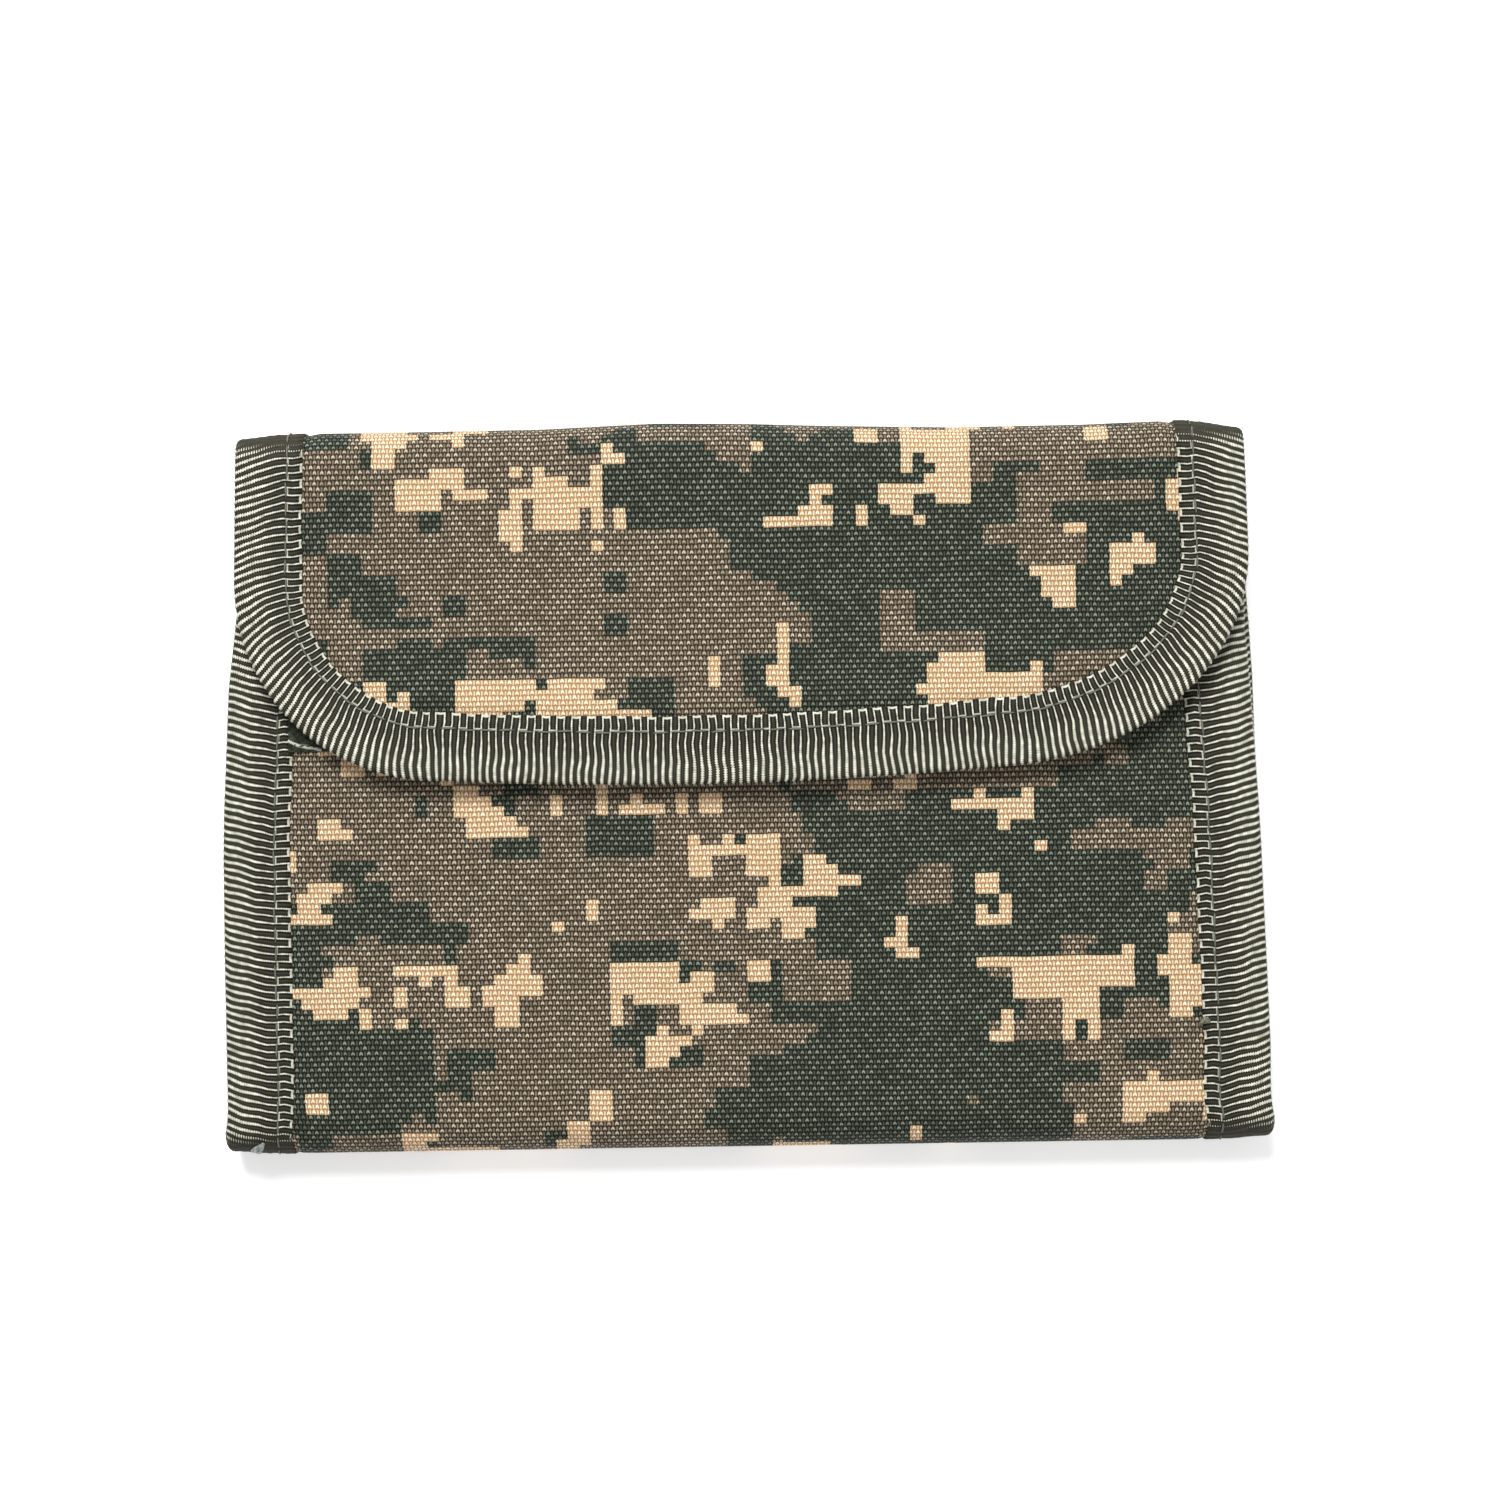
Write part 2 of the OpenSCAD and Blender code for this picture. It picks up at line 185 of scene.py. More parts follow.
class Look:
    """A material with one Principled shader, and what its patterns need."""

    def __init__(self, name, roughness, **fixed):
        self.material = bpy.data.materials.new(name)
        self.material.use_nodes = True
        self.node = partial(add_node, self.material.node_tree)
        self.shader = self.material.node_tree.nodes["Principled BSDF"]
        self.shader.inputs["Roughness"].default_value = roughness
        for socket, value in fixed.items():
            self.shader.inputs[socket.replace("_", " ")].default_value = value
        self.u, self.v = self.split(self.node("UVMap", uv_map="layout").outputs[0])

    def split(self, vector):
        """The first two parts of a vector."""
        parts = self.node("SeparateXYZ", {0: vector}).outputs
        return Wire(parts[0]), Wire(parts[1])

    def texture(self, kind, x, y, seed, **inputs):
        """A texture node, looked up at (x, y, seed)."""
        spot = self.node("CombineXYZ", {0: x, 1: y, 2: seed}).outputs[0]
        return self.node(kind, {"Vector": spot, **inputs})

    def noise(self, x, y, size, detail, seed):
        """Noise from 0 to 1 with features of about that size in millimetres."""
        return Wire(self.texture("TexNoise", x, y, seed, Scale=1.0 / size, Detail=detail).outputs["Fac"])

    def grain(self, size, detail, seed):
        """Noise over the piece's own layout."""
        return self.noise(self.u, self.v, size, detail, seed)

    def speckle(self, x, y):
        """A random value from 0 to 1 for each pair of whole numbers."""
        return Wire(self.texture("TexWhiteNoise", x, y, 0.0).outputs["Value"])

    def attribute(self, name):
        return Wire(self.node("Attribute", attribute_name=name).outputs["Fac"])

    def mix(self, share, first, second):
        """Colour between first and second; each is a colour or the result of another mix."""
        return self.node("Mix", {"Factor": share, 6: first, 7: second}, data_type="RGBA").outputs[2]

    def finish(self, colour, height, depth, strength, roughness=None):
        """The material, with its colour, a bump of that depth in millimetres, and maybe its roughness."""
        bump = self.node("Bump", {"Distance": depth * MM, "Strength": strength, "Height": height})
        for key, value in (("Base Color", colour), ("Normal", bump.outputs[0]), ("Roughness", roughness)):
            if value is not None:
                feed(self.shader.inputs[key], value)
        return self.material


def linear(*display):
    """A linear colour from its 0 to 255 display values."""
    shares = (value / 255 for value in display)
    return *(c / 12.92 if c < 0.04045 else ((c + 0.055) / 1.055) ** 2.4 for c in shares), 1.0


def plain_weave(look, warp, weft):
    """Height from 0 to 1 of a plain weave, and where its weft is on top: short arrowheads of the weft,
    staggered from row to row, with slim floats of the warp between them."""
    along = look.v / weft
    row, down = along.floor(), along.fract()
    across = look.u / (2 * warp) + (row * 0.5).fract()
    side = (across.fract() - 0.5).abs() * (2 * warp)
    # A random tone for each float; it scales the float's height, and with it the painted highlight and shade
    wear = look.speckle(across.floor(), row)
    fibre = look.noise(look.u * 1.6, look.v, 0.16, 1.0, 8.0)
    leg = (side - down * (0.42 * warp)) / (0.36 * warp)
    reach = (down - 0.46) / 0.48
    dash = (leg.power(2.0) + reach.abs().power(2.2)).ramp(0.0, 1.2, 1.0, 0.0)
    off_warp = (warp - side) / (0.36 * warp)
    slim = (off_warp.power(2.0) + ((down - 0.5) / 0.62).abs().power(2.6)).ramp(0.0, 1.2, 0.62, 0.0)
    return dash.most(slim) * (0.62 + 0.3 * wear) * (0.72 + 0.66 * fibre), dash


def camo_cloth():
    """Three-colour pixel camouflage printed on a coarse plain weave, with painted shade between its threads
    and painted highlights on its floats.
    """
    look = Look("camo_cloth", 0.7, Specular_IOR_Level=0.16)
    drift_x = look.grain(3.5, 1.0, 61.0)
    drift_y = look.grain(4.5, 1.0, 62.0)
    look.u, look.v = look.u + (drift_x - 0.5) * 0.35, look.v + (drift_y - 0.5) * 0.35
    cell_x, cell_y = 3 * WARP, 2 * WEFT

    def snapped(cells_x, cells_y):
        """The pattern's coordinates, held constant over blocks of that many cells."""
        step_x, step_y = cell_x * cells_x, cell_y * cells_y
        return (look.u / step_x).floor() * step_x, (look.v / step_y).floor() * step_y

    x, y = snapped(1, 1)
    block_x, block_y = snapped(2, 2)
    stroke_x, stroke_y = snapped(3, 2)
    body = look.noise(stroke_x * 0.8, stroke_y, 24.0, 1.0, 1018.08)
    rim = look.noise(x * 0.9, y, 8.5, 0.0, 1518.38)
    brown = (body * 0.78 + rim * 0.22).above(0.460)
    hole = look.noise(block_x * 0.6, block_y, 6.4, 0.0, 55.0).above(0.655)
    island = look.noise(stroke_x * 0.6, stroke_y, 7.0, 0.0, 33.0).above(0.665)
    brown = (brown * (1 - hole)).most(island)
    patch = look.noise(block_x * 0.7, block_y, 15.0, 1.0, 587.31)
    tatter = look.noise(x, y * 0.8, 6.2, 0.0, 888.01)
    tan = (patch * 0.7 + tatter * 0.3).above(0.603)
    drip = look.noise(x, y * 0.4, 3.4, 0.0, 41.0).above(0.70) * patch.above(0.52)
    crumb = look.noise(block_x, block_y, 5.0, 0.0, 77.0).above(0.80)
    tan = tan.most(drip).most(crumb)
    height, dash = plain_weave(look, WARP, WEFT)
    # For each print colour: painted shade for the gaps between threads, the printed colour itself, and a
    # painted highlight colour for the floats' crowns
    dark, printed, light = (
        look.mix(tan, look.mix(brown, green, earth), sand)
        for green, earth, sand in (((10, 12, 9), (38, 30, 21), (150, 118, 84)),
                                   ((63, 69, 56), (120, 108, 89), (220, 193, 157)),
                                   ((130, 138, 122), (192, 180, 160), (246, 226, 200))))
    # Painted shade: darker where the weave is low, between the threads
    colour = look.mix(height.ramp(0.04, 0.62), dark, printed)
    # Painted highlight: a glint on the crown of each weft float
    glint = height.ramp(0.52, 0.95, 0.0, 0.95) * dash.ramp(0.2, 0.9, 0.25, 1.0)
    colour = look.mix(glint, colour, light)
    return look.finish(colour, height, 0.16, 0.9)


def rib_tape():
    """Grosgrain: u counts ribs along the tape and v is the distance from its nearest edge."""
    look = Look("binding_tape", 0.62, Specular_IOR_Level=0.16)
    phase, rib = look.u.fract(), look.u.floor()
    off_line = (phase - 0.5).abs()
    tooth = (look.v * (math.tau / 0.34) + rib * 2.1).sin()
    fuzz = look.noise(look.u * RIB, look.v, 0.8, 2.0, 5.0)
    beads = look.v.ramp(2.4, 8.0, 0.15, 1.0)
    width = look.v.ramp(2.4, 7.5, 0.09, 0.19) + tooth * beads * 0.08 + (fuzz - 0.5) * 0.07
    line = off_line.ramp(width - 0.05, width + 0.04, 1.0, 0.0)
    pair = ((look.u * 0.5).fract() - 0.5).abs()
    selvedge = look.v.ramp(0.22, 0.34, 1.0, 0.0)
    edge_loop = selvedge * pair.ramp(0.27, 0.32, 1.0, 0.0)
    at_seam = (look.v - SEAM_IN + 0.15).abs().ramp(0.08, 0.16, 0.75, 0.0)
    edge_loop = edge_loop.most(at_seam * pair.ramp(0.2, 0.26))
    bare = look.attribute("bare")
    shown = (tooth * 0.5 + 0.5).ramp(bare * 1.3 - 0.35, bare * 1.3, 0.0, 1.0)
    white = line.most(edge_loop) * shown
    weft = (look.v * (math.tau / 0.27) + rib * 1.3).sin() * 0.5 + 0.5
    # Painted shade: the ground is darkest in the valleys beside each white line, olive on the ribs
    ground = look.mix(off_line.ramp(0.30, 0.45), (12, 12, 8), (56, 52, 37))
    ground = look.mix(weft * 0.6, ground, (20, 19, 13))
    ground = look.mix(bare * 0.8, ground, (52, 50, 39))
    thread = look.mix((fuzz - 0.3) * 1.6, (166, 166, 148), (236, 236, 220))
    colour = look.mix(white, ground, thread)
    # Painted shadow in the pinch along the stitch line
    seam = (look.v - SEAM_IN).abs().ramp(0.06, 0.22, 0.4, 0.0)
    colour = look.mix(seam, colour, (26, 26, 21))
    height = white * 0.55 + off_line.ramp(0.3, 0.5) * 0.35 + tooth * 0.1
    return look.finish(colour, height, 0.1, 0.8)


def fine_cloth(name, warp, weft, base, dark, light):
    look = Look(name, 0.75, Sheen_Weight=0.15, Specular_IOR_Level=0.3)
    height, _ = plain_weave(look, warp, weft)
    cloudy = look.grain(9.0, 3.0, 2.0)
    # Painted shade: darker where the weave is low, between the threads
    colour = look.mix(height.ramp(0.0, 0.8), dark, base)
    # Painted sheen on the threads' crowns, patchy over the cloth
    shine = height.ramp(0.6, 1.0, 0.0, 0.5) * cloudy.ramp(0.3, 0.8, 0.5, 1.0)
    # Mixes to the light colour: the painted sheen, and the pockets' mouths, which are worn and carry a
    # painted highlight
    colour = look.mix(shine.most(look.attribute("wear") * 0.8), colour, light)
    crease = look.noise(look.u * 0.35, look.v, 5.0, 3.0, 6.0)
    # Lighter where the wrinkles stand highest
    fade = crease.ramp(0.35, 0.75, 0.0, 0.07)
    colour = look.mix(fade, colour, light)
    return look.finish(colour, height + crease * 5.0, 0.08, 0.8)


def felt():
    look = Look("interlining", 0.95)
    fibre = look.noise(look.u, look.v * 0.4, 0.6, 4.0, 1.0)
    blotch = look.grain(6.0, 2.0, 4.0)
    colour = look.mix(fibre, (168, 165, 152), (222, 220, 208))
    colour = look.mix(blotch.ramp(0.4, 0.8, 0.0, 0.4), colour, (190, 186, 168))
    return look.finish(colour, fibre, 0.15, 0.6)


def sewing_thread(name, dark, light):
    look = Look(name, 0.6, Specular_IOR_Level=0.3)
    twist = (look.u * (math.tau / 0.45) + look.v * 6.0).sin() * 0.5 + 0.5
    # Painted shade and highlight: darker in the twist's grooves, lighter on its crests
    colour = look.mix(twist, dark, light)
    return look.finish(colour, twist, 0.05, 0.6)


def plain(name, dark, light, roughness, size, depth, **fixed):
    """Mottled nylon, from dark to light in patches of that size."""
    look = Look(name, roughness, **fixed)
    grain = look.grain(size, 3.0, 2.0)
    colour = look.mix(grain.ramp(0.3, 0.7), dark, light)
    return look.finish(colour, grain, depth, 0.5)


def worn_enamel():
    """Black enamel on zinc, rubbed bright in small scuffs."""
    look = Look("zipper_metal", 0.5, Specular_IOR_Level=0.35)
    x, y = (part * 1000.0 for part in look.split(look.node("TexCoord").outputs["Object"]))
    scuff = look.noise(x, y * 3.0, 1.6, 5.0, 3.0).ramp(0.62, 0.70)
    grime = look.noise(x, y, 0.7, 3.0, 8.0)
    colour = look.mix(grime, (22, 23, 21), (42, 43, 40))
    colour = look.mix(scuff, colour, (120, 119, 114))
    feed(look.shader.inputs["Metallic"], scuff * 0.8)
    return look.finish(colour, grime, 0.02, 0.4, roughness=grime.ramp(0.2, 0.8, 0.4, 0.6))


def vinyl():
    """Soft vinyl, dark and part transparent over the lining, buckled, and rougher where it is scratched."""
    look = Look("window_vinyl", 0.25, Specular_IOR_Level=0.36, Alpha=0.42)
    haze = look.grain(8.0, 3.0, 2.0)
    scratch = look.noise(look.u * 0.25, look.v * 3.0, 1.2, 3.0, 6.0).ramp(0.6, 0.75)
    colour = look.mix(haze, (58, 62, 54), (92, 97, 88))
    buckle = look.noise(look.u, look.v * 0.6, 13.0, 1.0, 4.0)
    return look.finish(colour, buckle, 2.2, 0.6, roughness=scratch.ramp(0.0, 1.0, 0.2, 0.34))


# ---- meshes

def strip_quads(rows, cols, closed=False):
    """Quads of a grid of rows by cols points; closed joins the last column to the first."""
    index = np.arange(rows * cols).reshape(rows, cols)
    if closed:
        index = np.hstack([index, index[:, :1]])
    return np.stack([index[:-1, :-1], index[:-1, 1:], index[1:, 1:], index[1:, :-1]], -1).reshape(-1, 4)


def circle(sides):
    """That many angles, evenly round a circle."""
    return np.linspace(0, math.tau, sides, endpoint=False)


def volume(points, quads):
    """A measure of the volume inside the quads, less than 0 if they face inwards."""
    a, b, c, d = (points[quads[:, k]] for k in range(4))
    return np.einsum("ij,ij->", np.cross(b - a, c - a), a) + np.einsum("ij,ij->", np.cross(c - a, d - a), a)


def placed(name, data):
    """A new object in the scene."""
    piece = bpy.data.objects.new(name, data)
    bpy.context.scene.collection.objects.link(piece)
    return piece


def linked(name, mesh, material):
    """A smooth-shaded object of the mesh."""
    mesh.polygons.foreach_set("use_smooth", [True] * len(mesh.polygons))
    mesh.materials.append(material)
    return placed(name, mesh)


def paint(piece, attribute, values):
    """A number for each of the piece's points, for its look."""
    data = piece.data.attributes.new(attribute, "FLOAT", "POINT").data
    data.foreach_set("value", np.asarray(values, np.float32).ravel())


def mesh_object(name, points, quads, uv, material):
    """A smooth mesh from points in millimetres, its faces turned outwards."""
    points, quads = np.asarray(points, float), np.asarray(quads, int)
    if volume(points, quads) < 0:
        quads = quads[:, ::-1]
    mesh = bpy.data.meshes.new(name)
    mesh.from_pydata((points * MM).tolist(), [], quads.tolist())
    corner = np.zeros(len(mesh.loops), int)
    mesh.loops.foreach_get("vertex_index", corner)
    layout = mesh.uv_layers.new(name="layout")
    layout.data.foreach_set("uv", np.asarray(uv, float)[corner].astype(np.float32).ravel())
    return linked(name, mesh, material)


def slab(name, outer, inner, uv, material):
    """A closed thin solid between two grids of points, outer and inner, both rows by cols by 3."""
    rows, cols = outer.shape[:2]
    count = rows * cols
    index = np.arange(count).reshape(rows, cols)
    border = np.concatenate([index[0], index[1:, -1], index[-1, -2::-1], index[-2:0:-1, 0]])
    following = np.roll(border, -1)
    rim = np.stack([following, border, border + count, following + count], -1)
    top = strip_quads(rows, cols)
    quads = np.vstack([top, top[:, ::-1] + count, rim])
    points = np.vstack([outer.reshape(-1, 3), inner.reshape(-1, 3)])
    flat = np.asarray(uv, float).reshape(-1, 2)
    return mesh_object(name, points, quads, np.vstack([flat, flat]), material)


def ring_part(grid, along, turn):
    """A closed tube for joined(), from its points (rings, sides, 3). Its uv is along it and round it."""
    rings, sides = grid.shape[:2]
    quads = [strip_quads(rings, sides, closed=True)]
    for first, flip in ((0, 1), ((rings - 1) * sides, -1)):
        fan = [[first, first + k, first + k + 1, first + k + 2] for k in range(1, sides - 2, 2)]
        quads.append(np.array(fan)[:, ::flip])
    uv = np.stack(np.broadcast_arrays(np.reshape(along, (-1, 1)), np.reshape(turn, (1, -1))), -1)
    return grid.reshape(-1, 3), np.vstack(quads), uv.reshape(-1, 2)


def tube(points, radius, sides, squash=1.0):
    """A part for joined(): a closed tube along a line of 3-D points."""
    along = np.gradient(points, axis=0)
    along /= np.linalg.norm(along, axis=1)[:, None]
    side = np.cross(along, (0, 0, 1.0))
    size = np.linalg.norm(side, axis=1)[:, None]
    side = np.where(size > 1e-3, side / np.maximum(size, 1e-3), (1.0, 0, 0))
    lift = np.cross(side, along)
    turn = circle(sides)
    radius = np.broadcast_to(radius, len(points))[:, None, None]
    round_it = side[:, None, :] * np.cos(turn)[:, None] + squash * lift[:, None, :] * np.sin(turn)[:, None]
    return ring_part(points[:, None, :] + radius * round_it, arc_lengths(points), turn)


def joined(name, parts, material):
    """One mesh object from several lots of points, quads and uv."""
    points, quads, uv = zip(*parts)
    first = np.cumsum([0] + [len(lot) for lot in points[:-1]])
    quads = [lot + start for lot, start in zip(quads, first)]
    return mesh_object(name, np.vstack(points), np.vstack(quads), np.vstack(uv), material)


def arc_lengths(line):
    return np.concatenate([[0], np.cumsum(np.linalg.norm(np.diff(line, axis=0), axis=1))])


def pick(line, own, at):
    """Points of a line at the lengths at, where own is the length at each of its points."""
    return np.stack([np.interp(at, own, column) for column in line.T], -1)


def resample(line, step):
    """A line with even steps, and the length at each of its points."""
    own = arc_lengths(line)
    at = np.linspace(0, own[-1], max(2, int(round(own[-1] / step)) + 1))
    return pick(line, own, at), at


# ---- sheet sizes, and fixing pieces to bodies

SMALLEST_CUT = 10.0     # the narrowest flat size that a sheet may give


def cut_size(piece, width, length, body, area=None, held="laid"):
    """Works out a piece's flat size as a sheet, and its area: one narrower than the smallest cut keeps its
    true area. Nothing is done with them.
    """
    flat = (max(width, SMALLEST_CUT), max(length, SMALLEST_CUT))
    area = min(area or width * length, flat[0] * flat[1])


def fasten(body, piece, slot, *nodes):
    """Fixes a piece to one body, in place of CAD nodes, which it hides. slot, a look's name, is not used."""
    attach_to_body(piece, body)
    if nodes:
        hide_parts(*nodes)


# ---- panels

# How far the top fold's line strays from straight, across the wallet
FOLD_WAVE = ((-66, -50, -28, -12, 0, 12, 30, 48, 62, 70),
             (0.0, 0.0, 0.1, 0.7, 0.5, 0.0, -0.5, -0.4, 0.0, -0.5))
# How far the sides of the back and front bow out past their straight cut, at a few heights: left, then right
BOW_Y = (-50, -43, -37, -23, -9, -3, 15, 21, 30, 45)
BACK_BOW = ((0.7, 0.7, 0.6, 0.4, 0.3, 0.3, 0.3, 0.3, 0.2, 0.0),
            (0.7, 0.9, 1.0, 1.0, 1.0, 1.0, 1.1, 1.0, 0.6, 0.0))
FRONT_BOW = ((0.8, 1.3, 1.5, 1.9, 2.2, 2.2, 1.7, 1.1, 0.2, 0.0),
             (0.8, 1.2, 1.4, 1.3, 1.2, 1.1, 0.4, 0.1, 0.0, 0.0))


def spread(points, x, bow):
    """Moves the parts of a panel near its sides outwards by its bow."""
    left, right = (np.interp(points[..., 1], BOW_Y, side) for side in bow)
    points[..., 0] += np.where(x < 0, -left, right) * smooth(np.abs(x), 30, 55)
    return points


def waves(panel_seed, fade, curl=0.0, a_curl=0.0, bow=None):
    """A settle() for a panel that lies free: soft waves that die out towards the fold, and an edge that
    lifts by curl beyond a_curl."""
    def settle(points, x, a):
        if bow:
            points = spread(points, x, bow)
        lift = 0.16 * ripple(x, a, panel_seed, 46.0) + 0.07 * ripple(x, a, panel_seed + 5, 21.0)
        points[..., 2] += lift * smooth(a, fade, fade + 14) + curl * smooth(a, a_curl, a_curl + 26)
        return points
    return settle


class Panel:
    """One panel of the wallet with its half of the fold beside it, laid out as (x, a)."""

    def __init__(self, name, side, thick, towards, bodies, y_far, inset=0.0):
        self.name, self.side, self.thick, self.towards = name, side, thick, towards
        self.bodies, self.inset = bodies, inset
        self.a_flat = thick / 2 - ROUND + ROUND * math.pi / 2      # where the cloth is flat again
        self.a_far = self.to_a(y_far)
        self.to_back = self.to_a(0.0)                              # from the spine's middle to y = 0

    def to_a(self, y):
        """Distance along the cloth from the spine's middle to height y on the flat panel."""
        return self.a_flat + FOLD_Y - ROUND - self.side * y

    def bend(self, a):
        """(y, z) of the outer face and its inward normal, at distance a from the middle of the spine."""
        a = np.asarray(a, float)
        straight = self.thick / 2 - ROUND
        turn = np.clip((a - straight) / ROUND, 0, math.pi / 2)
        run = np.maximum(a - self.a_flat, 0)
        y = self.side * (FOLD_Y - ROUND + ROUND * np.cos(turn) - run)
        z = self.thick / 2 + self.towards * (np.clip(a, 0, straight) + ROUND * np.sin(turn))
        return y, z, -self.side * np.cos(turn), -self.towards * np.sin(turn)

    def edge(self, a):
        """Half the panel's width at distance a."""
        return half_w(self.bend(a)[0]) - self.inset * smooth(a, self.a_flat - 3, self.a_flat + 3)

    def place(self, x, a, depth):
        """Where layout points (x, a) lie in the closed wallet, at a depth under the outer face."""
        y, z, ny, nz = self.bend(a)
        if self.side > 0:
            y = y + np.interp(x, *FOLD_WAVE) * smooth(a, self.a_flat + 12, 0)
        x, depth = np.broadcast_arrays(np.asarray(x, float), np.asarray(depth, float))
        outermost = smooth(half_w(y) - self.inset - np.abs(x), LEG, 0) * smooth(a, self.a_flat, 0)
        y = y + ny * depth - self.side * CORNER_DROOP[self.side] * outermost ** 2
        return self.settle(np.stack([x, y, z + nz * depth], -1), x, np.broadcast_to(a, x.shape))

    def settle(self, points, x, a):
        """The soft unevenness of a used panel. The back lies flat on the table, and its sides bow out."""
        return spread(points, x, BACK_BOW)

    def attach(self, piece, slot, *nodes):
        """Bakes the piece's place into its mesh and hides the CAD nodes that it replaces. slot is not used.
        """
        if self.towards > 0:
            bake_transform(piece)
        else:
            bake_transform(piece)
        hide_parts(*nodes)

    def layer(self, name, material, x, a, gap, depth, thickness, dip):
        """A layer of the panel on the grid (x, a). Under the tape's leg it lies deeper by dip. The second
        part of its uv runs along the whole outer cloth, from the middle of the back."""
        sunk = depth + dip * smooth(gap, LEG + 1.3, LEG + 0.1)
        top, bottom = self.place(x, a, sunk), self.place(x, a, sunk + thickness)
        run = self.side * (self.to_back + self.towards * a)
        return slab(name, top, bottom, np.stack([x, run], -1), material)

    def cloth(self, name, material, depth, thickness, a_to, inset=0.45, a_from=0.0, dip=0.4, held="folded"):
        """A layer from side to side, less inset, and from a_from to a_to."""
        a = np.linspace(a_from, a_to, 60)[:, None]
        share = np.linspace(-1, 1, 70)
        share = np.sign(share) * (1 - (1 - np.abs(share)) ** 1.35)
        x = share * (self.edge(a) - inset)
        a = np.broadcast_to(a, x.shape)
        piece = self.layer(name, material, x, a, self.edge(a) - np.abs(x), depth, thickness, dip)
        cut_size(piece, 2 * float(self.edge(a_to) - inset), a_to - a_from, self.bodies[1], held=held)
        return piece


FRONT = Panel("front", -1, FRONT_T, 1, ("bottom_fold", "front_panel"), FRONT_TOP, FRONT_IN)
FLAP = Panel("flap", 1, TOTAL_T, 1, ("top_fold", "flap"), FLAP_LOW)
BACK_LOW = Panel("back_low", -1, FRONT_T, -1, ("bottom_fold", "back_panel"), 0.0)
BACK_HIGH = Panel("back_high", 1, TOTAL_T, -1, ("top_fold", "back_panel"), 0.0)
FRONT.settle = waves(2.0, FRONT.a_flat + 2, bow=FRONT_BOW)
FLAP.settle = waves(4.0, FLAP.a_flat + 1, 1.0, FLAP.a_far - 28)


def there_and_back(outer, inner=None):
    """Columns of an outer skin, then those of the inner one, or of the outer one again, in reverse."""
    return np.concatenate([outer, (outer if inner is None else inner)[:, ::-1]], 1)


def tape_section(depth):
    """Cross-section of a tape folded over an edge of that depth: distance in from the edge, depth, the
    outward normal of both, and the distance from the tape's nearest selvedge. One row per depth."""
    depth = np.asarray(depth, float)[:, None]
    corner = np.minimum(1.1, depth / 2)
    leg = LEG - (LEG - corner) * np.linspace(0, 1, 8)
    level = 0 * leg
    turn = np.linspace(0, math.pi / 2, 4)[1:] + 0 * depth
    inward = there_and_back(np.hstack([leg, corner - corner * np.sin(turn)]))
    half_down = np.hstack([level, corner - corner * np.cos(turn)])
    down = there_and_back(half_down, depth - half_down)
    normal_in = there_and_back(np.hstack([level, -np.sin(turn)]))
    half_normal = np.hstack([level - 1, -np.cos(turn)])
    normal_down = there_and_back(half_normal, -half_normal)
    steps = np.hypot(np.diff(inward, axis=1), np.diff(down, axis=1))
    run = np.hstack([0 * depth, np.cumsum(steps, 1)])
    return inward, down, normal_in, normal_down, np.minimum(run, run[:, -1:] - run)


def tape(panel, name, line, inward, depth, lean, seed, sealed):
    """Grosgrain tape folded over an edge. line is the middle of its outer leg in the layout, inward the unit
    vectors from there into the panel, depth the thickness that it wraps, and lean how far its ribs slant.
    Over the sealed length at each end its two legs are pressed together. Round the fold it is worn bare."""
    dense, at = resample(line, RIB / RIB_STEPS)
    own = arc_lengths(line)
    normal = pick(inward, own, at)
    normal /= np.linalg.norm(normal, axis=1)[:, None]
    thick = np.interp(at, own, depth)[:, None]
    slant = np.interp(at, own, lean)[:, None]
    a_in, d_in, n_a, n_d, v = tape_section(thick[:, 0])
    s = at[:, None]
    wobble = 0.16 * ripple(s, v * 2.5, seed, 13.0) + 0.07 * ripple(s, v, seed + 3, 5.0)
    jog = 0.3 * smooth(v, SEAM_IN - 0.2, SEAM_IN + 0.2) * np.clip(slant * 8, -1, 1)
    ribs = (s + slant * LEG * (1 - a_in / LEG) ** 1.5) / RIB + wobble - jog
    relief = 0.06 * np.cos(math.tau * (ribs - 0.5)) + 0.035 * np.cos(4 * math.pi * ribs)
    pinch = 0.14 * np.exp(-((v - SEAM_IN) / 0.4) ** 2)
    scallop = 0.13 * np.abs(np.cos(math.pi * ribs / 2)) * np.clip(1 - v / 0.8, 0, 1)
    edge_wave = 0.14 * ripple(s, 0 * s, seed + 8, 17.0) * (a_in / LEG) ** 2
    out = relief - 0.095 - pinch
    closing = smooth(np.minimum(s, at[-1] - s), sealed, 0) if sealed else 0.0
    skins = []
    for offset, left_open in ((out, 0.36), (out * 0.3 - TAPE_T, 0.02)):
        inward_mm = a_in + n_a * offset + scallop + edge_wave
        across = dense[:, None, :] + normal[:, None, :] * (inward_mm - LEG / 2)[..., None]
        down = d_in + n_d * offset
        pressed = thick / 2 + (down - thick / 2) * left_open
        skins.append(panel.place(across[..., 0], across[..., 1], down + (pressed - down) * closing))
    ring = there_and_back(*skins)
    rows, cols = ring.shape[:2]
    j = np.arange(cols // 2 - 1)
    cap = np.stack([j, cols - 1 - j, cols - 2 - j, j + 1], -1)
    quads = np.vstack([strip_quads(rows, cols, closed=True), cap, cap[:, ::-1] + (rows - 1) * cols])
    uv = np.stack([there_and_back(ribs), there_and_back(v)], -1)
    piece = mesh_object(name, ring.reshape(-1, 3), quads, uv.reshape(-1, 2), TAPE)
    past_fold = np.abs(dense[:, 1:]) - panel.a_flat + 0 * v
    paint(piece, "bare", there_and_back(1 - smooth(past_fold, -3.9, -0.2)))
    cut_size(piece, 2 * LEG + float(thick.mean()), at[-1], panel.bodies[1], held="folded")
    return piece


